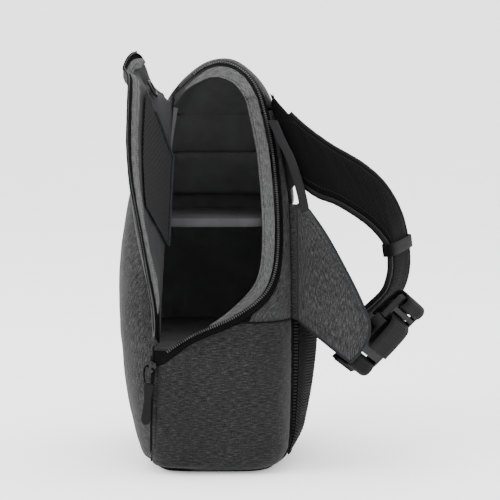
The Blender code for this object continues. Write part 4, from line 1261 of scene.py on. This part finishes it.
FLAP_TAPE = [
    (10.6, 6.2), (9.8, 6.6), (7.8, 4.2), (5.8, 2.2), (3.2, 1.1), (0.7, 1.0),
    (0.4, 0.6), (0.7, 0.2), (3.4, 0.3), (6.2, 1.3), (8.4, 3.2), (10.0, 5.4),
]  # fmt: skip
FLAP_FACING = [
    (8.6, 4.2), (9.2, 5.4), (10.4, 6.8), (13.0, 7.6), (16.0, 8.1), (20.0, 8.4),
    (20.6, 9.0), (16.0, 8.9), (12.4, 8.5), (9.6, 7.6), (8.2, 6.2), (7.8, 4.8),
]  # fmt: skip


def build_flap():
    outer = flap_grid(TAPE_WIDTH + 1.2)
    shape = (1.5, 0.6, 2.0)
    cloth = soft_panel("flap_cloth", outer, (170, 90), 0.2, 1.3, HEATHER_FLAP_LIT, *shape, swing=True, roll=6.0)
    finish_piece(cloth, "flap", "heather", "flap_outer")
    lined = flap_grid(TAPE_WIDTH + 1.6)
    fine = refine(lined, 170, 90)
    normals = grid_normals(fine, INSIDE)
    edge = edge_distance(fine)
    full = 2.6 + 5.2 * (1 - np.exp(-edge / 5.5))
    wrinkle = lumps(fine, 26.0, 7.0) * 0.8 + lumps(fine, 11.0, 8.0) * 0.35
    face = fine - normals * (full + wrinkle * np.clip(edge / 12, 0, 1))[..., None]
    back = fine - normals * 1.7
    lining = layer_between("flap_padding", swing_open(face), swing_open(back), LINING_FLAP_SHADED)
    finish_piece(lining, "flap", "lining", "flap_foam", "flap_lining", padded=0.6)
    tape = rim_band("flap_tape_cloth", FLAP_TAPE, 2, RIM_COUNT - 9, TAPE, swing=True, wave=0.2, runs=(4, 4))
    finish_piece(tape, "flap", "tape", "flap_zip_tape")
    points, normals = rim_line(1.7, 1.6, 4, RIM_COUNT - 11, 8, swing=True)
    finish_piece(teeth("flap_teeth", points, -normals), "flap", "coil", "flap_zip_coil")
    last = RIM_COUNT - 8
    shape = {"wave": 0.45, "seed": 5.0, "runs": (9, 4)}
    facing = rim_band("flap_facing_cloth", FLAP_FACING, 5, last, PALE, swing=True, **shape)
    finish_piece(facing, "flap", "pale", "flap_facing")
    stitches = ((12.6, 8.75, THREAD), (18.6, 9.05, THREAD), (5.6, 2.3, THREAD_DARK))
    for number, (distance, depth, look) in enumerate(stitches):
        points, normals = rim_line(distance, depth, 6, RIM_COUNT - 12, 4, swing=True)
        made = stitch_line(f"flap_stitch_{number}", points, -normals, look, 2.8, 0.95, 0.28)
        finish_piece(made, "flap", "pale")
    pocket = flap_grid(22, rows=24, columns=8, low=0.10, high=0.88)[9:18]
    fine = refine(pocket, 110, 70)
    normals = grid_normals(fine, INSIDE)
    sag = lumps(fine, 22.0, 4.0) * 0.5 + lumps(fine, 8.0, 6.0) * 0.15
    face = fine - normals * (10.5 + sag)[..., None]
    back = fine - normals * (10.0 + sag)[..., None]
    made = layer_between("pocket_mesh_cloth", swing_open(face), swing_open(back), POCKET)
    finish_piece(made, "flap", "mesh", "flap_mesh_pocket")
    mouth = [row[0] for row in fine] + [fine[-1][j] for j in range(1, 50)]
    mouth = [p - skin_normal(p) * 11.2 for p in mouth[::6]]
    mouth = swing_open(smooth_path(mouth, 90))
    bound = cord_piece("pocket_binding_tape", mouth, 1.35, BINDING, up=(0.8, -0.5, 0.2), sides=10)
    finish_piece(bound, "flap", "binding", "pocket_binding")
    build_eyelet()
    build_hinge_cloth()


def build_eyelet():
    """An oval metal ring pressed into the lining, with a dark throat."""
    middle = near_side(-2, 345)
    normal = skin_normal(middle)
    up = HINGE_AXIS - normal * float(np.dot(HINGE_AXIS, normal))
    up /= np.linalg.norm(up)
    side = np.cross(up, normal)
    middle = middle - normal * 10.6
    section = [(-1.9, 0.3), (-1.4, 1.1), (-0.2, 1.5), (1.1, 1.2), (1.9, 0.3), (1.6, -0.5), (-1.5, -0.5)]
    rings = []
    for k in range(64):
        turn = 2 * math.pi * k / 64
        radial = up * math.cos(turn) * 8.0 + side * math.sin(turn) * 4.2
        outward = up * math.cos(turn) * 4.2 + side * math.sin(turn) * 8.0
        outward /= np.linalg.norm(outward)
        rings.append([middle + radial + outward * r - normal * h for r, h in section])
    made = sweep("eyelet_ring", swing_open(np.array(rings)), EYELET, closed_path=True)
    finish_piece(made, "flap", "metal", "cable_port_eyelet")
    turns = [2 * math.pi * k / 32 for k in range(32)]
    oval = np.array([up * math.cos(t) * 7.0 + side * math.sin(t) * 3.3 for t in turns])
    profile = [(0.05, 0.2), (0.6, 0.2), (0.95, 0.3), (0.95, 0.9), (0.6, 0.9), (0.05, 0.9)]
    throat = [middle + oval * share + normal * height for share, height in profile]
    flaps = sweep("eyelet_throat", swing_open(np.array(throat)), RUBBER_DARK)
    finish_piece(flaps, "flap", "metal")


def build_hinge_cloth():
    """The lining that runs on from the bag's front wall to the flap across the hinge."""
    rows, columns = 90, 12
    outer, inner = [], []
    for i in range(rows):
        share = 0.045 + 0.9 * i / (rows - 1)
        seam = SEAM_FOOT + (SEAM_HEAD - SEAM_FOOT) * share
        normal = skin_normal(seam)
        flap_edge = near_side(seam[0] + 4.5, seam[2])
        flap_point = swing_open(flap_edge - skin_normal(flap_edge) * 4.0)
        wall = at_angle(near_front(seam[2]) - 1.5, seam[2])
        wall = wall - skin_normal(wall) * 7.0
        middle = seam - normal * 4.5
        toward = (flap_point + wall) / 2 - seam
        middle = seam + toward * 0.75
        row, under = [], []
        for j in range(columns):
            t = j / (columns - 1)
            point = (1 - t) ** 2 * wall + 2 * t * (1 - t) * middle + t * t * flap_point
            row.append(point)
            under.append(point + (seam - point) / np.linalg.norm(seam - point) * 0.9)
        outer.append(row)
        inner.append(under)
    made = layer_between("hinge_lining", np.array(outer), np.array(inner), LINING_HINGE_SHADED)
    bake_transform(made)


# ---------------------------------------------------------------- the zip's slider and pull

SLIDER_AT = (-60.0, 104.0)


def eased_copy(node, name, look, width, segments=3, sharp=28.0):
    """The CAD node's own shape with its edges rounded."""
    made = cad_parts[node].copy()
    made.data = made.data.copy()
    made.name = name
    made.parent = None
    for key in list(made.keys()):
        del made[key]
    bpy.context.scene.collection.objects.link(made)
    work = bmesh.new()
    work.from_mesh(made.data)
    bmesh.ops.remove_doubles(work, verts=work.verts, dist=1e-5)
    bmesh.ops.dissolve_limit(work, angle_limit=math.radians(1.5), verts=work.verts, edges=work.edges)
    edges = [e for e in work.edges if e.is_manifold and e.calc_face_angle(0) > math.radians(sharp)]
    shape = {"offset": width * MM, "segments": segments, "profile": 0.6}
    bmesh.ops.bevel(work, geom=edges, affect="EDGES", clamp_overlap=True, **shape)
    bmesh.ops.triangulate(work, faces=[f for f in work.faces if len(f.verts) > 4])
    work.to_mesh(made.data)
    work.free()
    made.data.materials.clear()
    made.data.materials.append(look)
    made.data.shade_smooth()
    made.data.set_sharp_from_angle(angle=math.radians(40))
    return made


def build_slider():
    slider = eased_copy("zip_slider", "slider_shell", METAL, 0.45)
    finish_piece(slider, "slider", "metal", "zip_slider")
    pin = near_side(*SLIDER_AT) + np.array([0, -6.4, 0])
    route = [
        (3.0, -0.9, -14), (3.5, -0.8, -8), (3.9, -0.2, -4), (3.0, 0, -1.75), (0, 0, 0),
        (-3.0, 0, 1.75), (-5.2, -0.1, -0.6), (-5.5, -0.8, -7), (-4.6, -0.9, -14),
    ]  # fmt: skip
    path = smooth_path([pin + np.array(step) for step in route], 120)
    twist = np.linspace(0, 60 * math.pi, 120)
    cord = cord_piece("pull_cord", path, 0.82 + 0.06 * np.sin(twist), WEBBING, up=(0.2, 1, 0.1), sides=12)
    finish_piece(cord, "pull", "webbing", "zip_pull_cord")
    along = np.array([-0.09, 0, -0.996])
    across = np.array([0.996, 0, -0.09])
    out = np.array([0, -1.0, 0])
    start = pin + np.array([-1.0, -1.0, -14.4])
    half = curve_through([(0, 4.1), (3, 5), (14, 3.7), (24, 4.0), (34, 4.5), (39.2, 2.6)])
    deep = curve_through([(0, 1.5), (3, 1.9), (10, 1.6), (30, 1.6), (39.2, 0.9)])
    rings = []
    for a in np.concatenate([[0.0, 0.5], np.linspace(1.2, 38, 70), [38.8, 39.2]]):
        grip = 0.22 * math.sin(2 * math.pi * a / 2.6) if 12 < a < 31 else 0.0
        ease = min(1.0, 0.55 + a / 1.6, 0.55 + (39.2 - a) / 1.6)
        ring = []
        for k in range(24):
            turn = 2 * math.pi * k / 24
            c, s = math.cos(turn), math.sin(turn)
            c, s = math.copysign(abs(c) ** 0.5, c), math.copysign(abs(s) ** 0.6, s)
            ring.append(start + along * a + across * c * half(a) * ease + out * s * (deep(a) * ease + grip))
        rings.append(ring)
    tab = sweep("pull_tab", rings, RUBBER)
    finish_piece(tab, "pull", "rubber", "zip_pull_tab")


# ---------------------------------------------------------------- the harness

STRAP_UPPER = [
    (52, -27, 357), (78, -28, 328), (109, -22, 304), (142, -12, 284), (164, -5, 264),
    (180, -1, 236), (187, 1, 205), (187, 1, 180), (180, 0, 160), (165, -1, 142), (150, -3, 128),
]  # fmt: skip
STRAP_LOWER = [
    (79, -46, 275), (97, -55, 263), (115, -57, 256), (142, -50, 239), (157, -48, 225),
    (166, -52, 211), (168, -54, 197), (167, -55, 183), (162, -56, 169), (150, -56, 156), (137, -57, 145),
]  # fmt: skip
BUCKLE_HEAD = np.array([185.0, -76.0, 157.0])
BUCKLE_TILT_DEG = 50.0
WING_EDGE = [(127, 108), (138, 121), (145, 139), (137, 163), (121, 195), (104, 225), (89, 246)]


def wing_surface(z, share):
    """The wing's y at this height and share of its width."""
    root = -0.80 * near_width(z)
    tip = curve_through([(105, -108), (140, -105), (200, -84), (250, -61)])(z)
    return root + (tip - root) * share - 3 * math.sin(math.pi * share)


def build_wing():
    outer = smooth_path(WING_EDGE, 12)
    root = smooth_path([(79.5, 143.5), (79.5, 200), (79, 251)], 12)
    grid = []
    for i in range(9):
        share = i / 8
        row = []
        for j in range(12):
            x, z = root[j] * (1 - share) + outer[j] * share
            row.append(np.array([x, wing_surface(z, share), z]))
        grid.append(row)
    fine = refine(np.array(grid), 110, 130)
    normals = grid_normals(fine, np.array([110.0, 200.0, 180.0]))
    edge = edge_distance(fine)
    body = 1.2 + 3.2 * (1 - np.exp(-edge / 4.2))
    quilt = -1.0 * np.exp(-((edge - 7.5) / 1.1) ** 2)
    soft = lumps(fine, 34.0, 3.0) * 0.8 + lumps(fine, 13.0, 6.0) * 0.3
    lift = (body + quilt + soft * np.clip(edge / 10, 0, 1))[..., None]
    made = layer_between("wing_cloth", fine + normals * lift, fine - normals * lift, HEATHER_UP_LIT)
    finish_piece(made, "harness", "heather", "hip_wing", padded=0.7)
    up = np.mean(around(normals), axis=0)
    bound = cord_piece("wing_binding", even(around(fine), 320), 1.75, BINDING, up, sides=12, flat=1.1)
    finish_piece(bound, "harness", "binding")
    top = fine + normals * (lift + 0.1)
    path, ups = [around(g[8:102, 9:121].swapaxes(0, 1))[::2] for g in (top, normals)]
    stitches = stitch_line("wing_stitch_0", path, ups, THREAD, 3.0, 1.05, 0.3)
    finish_piece(stitches, "harness", "binding")
    path = smooth_path([(54.5, 331), (63, 312), (71, 296), (77.5, 277), (82, 261), (85, 246)], 60)
    section = [(-4.4, -0.6), (-3.6, -2.0), (-2.8, -2.2), (2.8, -2.4), (3.8, -1.9)]
    section += [(4.6, -0.4), (4.4, 1.0), (3.2, 1.9), (-3.2, 1.9), (-4.2, 0.9)]
    rings = []
    for x, z in path:
        y = -0.86 * near_width(z) - 6
        rings.append([(x + w, y + (w + 4.2) * 0.18 + t, z) for w, t in section])
    strip = sweep("wing_strip_cloth", rings, STRIP)
    finish_piece(strip, "harness", "dark_fabric", "wing_strip")
    light = [np.array([x - 3.9, -0.86 * near_width(z) - 8.1, z]) for x, z in path]
    outward = [np.array([0.1, -1.0, 0.0])] * len(light)
    line = stitch_line("wing_strip_stitch", light, outward, THREAD, 2.6, 1.0, 0.35)
    finish_piece(line, "harness", "binding")


def build_roots():
    """Cloth sewn into the back seam that carries the wing and the strap."""
    rows, columns = 80, 12
    roots = (("wing_root", 143.5, 251.0, HEATHER_UP_LIT), ("strap_root", 262.0, 346.0, STRIP))
    for name, low, high, look in roots:
        outer, inner = [], []
        for z in np.linspace(low, high, rows):
            seam = at_angle(near_back(z) - 0.5, z)
            if name == "wing_root":
                end = np.array([81.5, wing_surface(z, 0.02), z])
            else:
                share = (z - low) / (high - low)
                upper, lower = np.array(STRAP_UPPER[0]), np.array(STRAP_LOWER[0])
                end = lower + (upper - lower) * share + np.array([3.0, 0.6, 0.0])
            out = skin_normal(seam)
            start = seam - out * 0.4
            bow = (start + end) / 2 + out * 0.8 + np.array([0.0, 0.0, 0.3 * math.sin(z / 3.1)])
            row, under = [], []
            for j in range(columns):
                t = j / (columns - 1)
                point = (1 - t) ** 2 * start + 2 * t * (1 - t) * bow + t * t * end
                row.append(point + np.array([0.0, -0.8, 0.0]))
                under.append(point + np.array([0.0, 0.8, 0.0]))
            outer.append(row)
            inner.append(under)
        made = layer_between(name, np.array(outer), np.array(inner), look)
        middle = rows // 2
        start, end = Vector(outer[middle][1]) * MM, Vector(outer[middle][-2]) * MM
        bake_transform(made)


def strap_edges(count):
    """The strap's upper and lower edges, count points each."""
    return smooth_path(STRAP_UPPER, count), smooth_path(STRAP_LOWER, count)


def build_strap():
    upper, lower = strap_edges(STRAP_STEPS)
    across = upper - lower
    width = np.linalg.norm(across, axis=1, keepdims=True)
    across = across / width
    middle = (upper + lower) / 2
    tangent = np.gradient(middle, axis=0)
    tangent /= np.linalg.norm(tangent, axis=1, keepdims=True)
    normal = np.cross(tangent, across)
    normal /= np.linalg.norm(normal, axis=1, keepdims=True)
    columns = 40
    shares = np.arange(columns)[None, :, None] / (columns - 1)
    grid = upper[:, None, :] + (lower - upper)[:, None, :] * shares
    normals = np.repeat(normal[:, None, :], columns, axis=1)
    u, v, ru, rv = cloth_lengths(grid)
    edge = np.minimum(v, rv)
    end = np.minimum(u, ru)
    body = 1.4 + 2.5 * (1 - np.exp(-edge / 4.0))
    fold = lumps(np.stack([u / 9, v / 60, u * 0], axis=2), 1.0, 3.0) * 0.35 + lumps(grid, 30.0, 4.0) * 0.5
    pinch = 1 - 0.35 * np.exp(-end / 5)
    lift = ((body + fold * np.clip(edge / 8, 0, 1)) * pinch)[..., None]
    made = layer_between("strap_cloth", grid + normals * lift, grid - normals * lift, STRAP_FACE)
    finish_piece(made, "harness", "strap", "shoulder_strap", padded=0.7)
    pulled = 0.18 * lumps(np.stack([u[:, :1] / 6, u[:, :1] * 0, u[:, :1] * 0], axis=2), 1.0, 8.0)[:, 0]
    edges = (
        ("outer", upper + across * 3.4, 2.9 + pulled, 3, 24),
        ("inner", lower - across * 3.4, 2.7 + pulled, columns - 4, 0),
    )
    for name, edge, radius, _, skip in edges:
        roll = cord_piece("strap_roll_" + name, edge[skip:], radius[skip:], EDGE, up=(0, 1, 0.1), sides=14)
        finish_piece(roll, "harness", "binding", "strap_binding_" + name)
    for name, _, _, j, skip in edges:
        for side, ending in ((1, ""), (-1, "_back")):
            path = (grid + side * normals * (lift + 0.1))[:, j][skip:]
            ups = side * normals[:, j][skip:]
            made = stitch_line("strap_stitch_" + name + ending, path, ups, THREAD, 3.2, 1.1, 0.3)
            finish_piece(made, "harness", "binding")


def build_keeper():
    """A flat webbing band sewn round the strap."""
    upper, lower = strap_edges(30)
    index = 19
    a, b = upper[index], lower[index]
    tangent = upper[index + 1] + lower[index + 1] - upper[index - 1] - lower[index - 1]
    tangent = tangent / np.linalg.norm(tangent)
    across = (b - a) / np.linalg.norm(b - a)
    normal = np.cross(tangent, across)
    normal /= np.linalg.norm(normal)
    across = np.cross(normal, tangent)
    middle = (a + b) / 2
    half = np.linalg.norm(b - a) / 2
    section = [(-6, 0.3), (-5.6, 0.8), (-2, 0.9), (2, 0.9), (5.6, 0.8)]
    section += [(6, 0.3), (5.6, -0.5), (0, -0.6), (-5.6, -0.5)]
    rings = []
    for k in range(120):
        turn = 2 * math.pi * k / 120
        c, s = math.cos(turn), math.sin(turn)
        c, s = math.copysign(abs(c) ** 0.5, c), math.copysign(abs(s) ** 0.5, s)
        ring = []
        for w, t in section:
            ring.append(middle + across * c * (half + 7.0 + t) + normal * s * (6.4 + t) + tangent * w)
        rings.append(ring)
    made = sweep("keeper_webbing", rings, WEBBING, closed_path=True)
    finish_piece(made, "harness", "webbing", "strap_keeper")


def buckle_frame():
    """The buckle's origin and its axes: along, across and through."""
    along = np.array([-0.70, 0.0, -0.714])
    along /= np.linalg.norm(along)
    down_right = np.array([0.714, 0.0, -0.70])
    down_right /= np.linalg.norm(down_right)
    tilt = math.radians(BUCKLE_TILT_DEG)
    through = np.array([0, -1.0, 0]) * math.cos(tilt) + down_right * math.sin(tilt)
    return BUCKLE_HEAD, along, np.cross(through, along), through


def flat_webbing(name, route, body, look, node):
    """Webbing that follows a route in the buckle's plane of along and through."""
    origin, along, across, through = buckle_frame()
    path = smooth_path([origin + along * a + through * t for a, t in route], 150)
    tangent = np.gradient(path, axis=0)
    tangent /= np.linalg.norm(tangent, axis=1, keepdims=True)
    normal = np.cross(tangent, across)
    half = WEBBING_WIDTH / 2
    top = [(-half, 0.2), (-half + 0.5, 0.5), (-half * 0.5, 0.5), (0, 0.5)]
    top += [(half * 0.5, 0.5), (half - 0.5, 0.5), (half, 0.2)]
    section = top + [(w, -t) for w, t in reversed(top)]
    rings = [[p + across * w + n * t * WEBBING_THICK for w, t in section] for p, n in zip(path, normal)]
    made = sweep(name, rings, look)
    finish_piece(made, body, "webbing", node)


def build_buckle():
    for node, name, body, width in (
        ("buckle_socket", "socket_shell", "harness", 1.7),
        ("buckle_plug", "plug_shell", "plug", 1.2),
        ("buckle_prong_left", "prong_left_shell", "prong_left", 0.8),
        ("buckle_prong_right", "prong_right_shell", "prong_right", 0.8),
    ):
        finish_piece(eased_copy(node, name, PLASTIC, width, 4), body, "plastic", node)
    plug_route = [
        (54, 11.2), (36, 10.6), (22, 8.8), (17.6, 5), (16.5, 0), (14.5, -5), (11, -7.2), (7.2, -5.6),
        (6.6, 0), (6.4, 4.2), (3, 6.2), (-2, 6.0), (-5.2, 3.2), (-5.8, 0), (-5.4, -5),
        (-3, -9.5), (6, -11.2), (18, -12.0), (30, -12.4),
    ]  # fmt: skip
    flat_webbing("plug_webbing_cloth", plug_route, "plug", WEBBING_GREY, "plug_webbing")
    socket_route = [
        (86, -9.8), (80, -9.4), (73, -9.0), (66.6, -6.4), (66.2, 0), (66.6, 6.4), (70, 8.8),
        (77, 8.8), (80.6, 5), (81.2, 0), (82.6, -4), (86, -6.2),
    ]  # fmt: skip
    flat_webbing("socket_webbing_cloth", socket_route, "harness", WEBBING, "socket_webbing")


# ---------------------------------------------------------------- hidden nodes, studio and camera


def build_hidden():
    board = eased_copy("base_board", "board_sheet", BOARD, 0.6)
    finish_piece(board, "bag_body", "board", "base_board")


def build_studio():
    """A wide pale floor that meets an equally pale surrounding."""
    ring = [2 * math.pi * k / 64 for k in range(64)]
    points = [(40 * math.cos(t), 40 * math.sin(t), -0.0006) for t in ring]
    mesh = bpy.data.meshes.new("studio_floor")
    mesh.from_pydata(points, [], [list(range(64))])
    floor = bpy.data.objects.new("studio_floor", mesh)
    bpy.context.scene.collection.objects.link(floor)
    look = Look("studio_paper", 0.95, 0.0, 0.0)
    look.colour(look.ramp(look.noise("Object", (3, 3, 3), 2.0), [(0.3, 238), (0.7, 241)], 1.0))
    look.shader.inputs["Emission Color"].default_value = (1, 1, 1, 1)
    look.shader.inputs["Emission Strength"].default_value = 0.35
    mesh.materials.append(look.material)


def area_light(name, at, toward, size, power):
    """A rectangular lamp that faces a point."""
    data = bpy.data.lights.new(name, "AREA")
    data.shape = "RECTANGLE"
    data.size, data.size_y = size
    data.energy = power
    lamp = bpy.data.objects.new(name, data)
    lamp.location = at
    lamp.rotation_euler = (Vector(toward) - Vector(at)).to_track_quat("-Z", "Y").to_euler()
    bpy.context.scene.collection.objects.link(lamp)


def build_light():
    area_light("key", (-1.9, -1.2, 1.3), (0.0, 0.0, 0.2), (1.2, 1.2), 56)
    area_light("fill", (1.5, -1.5, 0.9), (0.05, 0.0, 0.2), (1.2, 1.2), 8)
    area_light("top", (0.1, 0.1, 1.9), (0.0, 0.0, 0.1), (1.4, 1.4), 20)
    world = bpy.data.worlds.new("studio_air")
    world.use_nodes = True
    world.node_tree.nodes["Background"].inputs[0].default_value = (1, 1, 1, 1)
    world.node_tree.nodes["Background"].inputs[1].default_value = 2.6
    bpy.context.scene.world = world


SENSOR_WIDTH = 36.0
CAMERA_DISTANCE = 1.8  # metres, like the target and the view's width there
CAMERA_TARGET = (0.033, -0.05, 0.207)
CAMERA_ELEVATION_DEG = 6.0
VIEW_WIDTH = 0.475 / 0.96 / 1.031


def build_camera():
    data = bpy.data.cameras.new("camera")
    elevation = math.radians(CAMERA_ELEVATION_DEG)
    target = Vector(CAMERA_TARGET)
    data.sensor_width = SENSOR_WIDTH
    data.lens = SENSOR_WIDTH * CAMERA_DISTANCE / VIEW_WIDTH
    camera = bpy.data.objects.new("camera", data)
    camera.location = target + Vector((0, -math.cos(elevation), math.sin(elevation))) * CAMERA_DISTANCE
    camera.rotation_euler = (target - camera.location).to_track_quat("-Z", "Y").to_euler()
    bpy.context.scene.collection.objects.link(camera)
    bpy.context.scene.camera = camera


build_shell()
build_seams()
build_underlays()
build_cells()
build_rim()
build_back()
build_base()
build_tab()
build_flap()
build_slider()
build_wing()
build_roots()
build_strap()
build_keeper()
build_buckle()
build_hidden()
build_studio()
build_light()
build_camera()
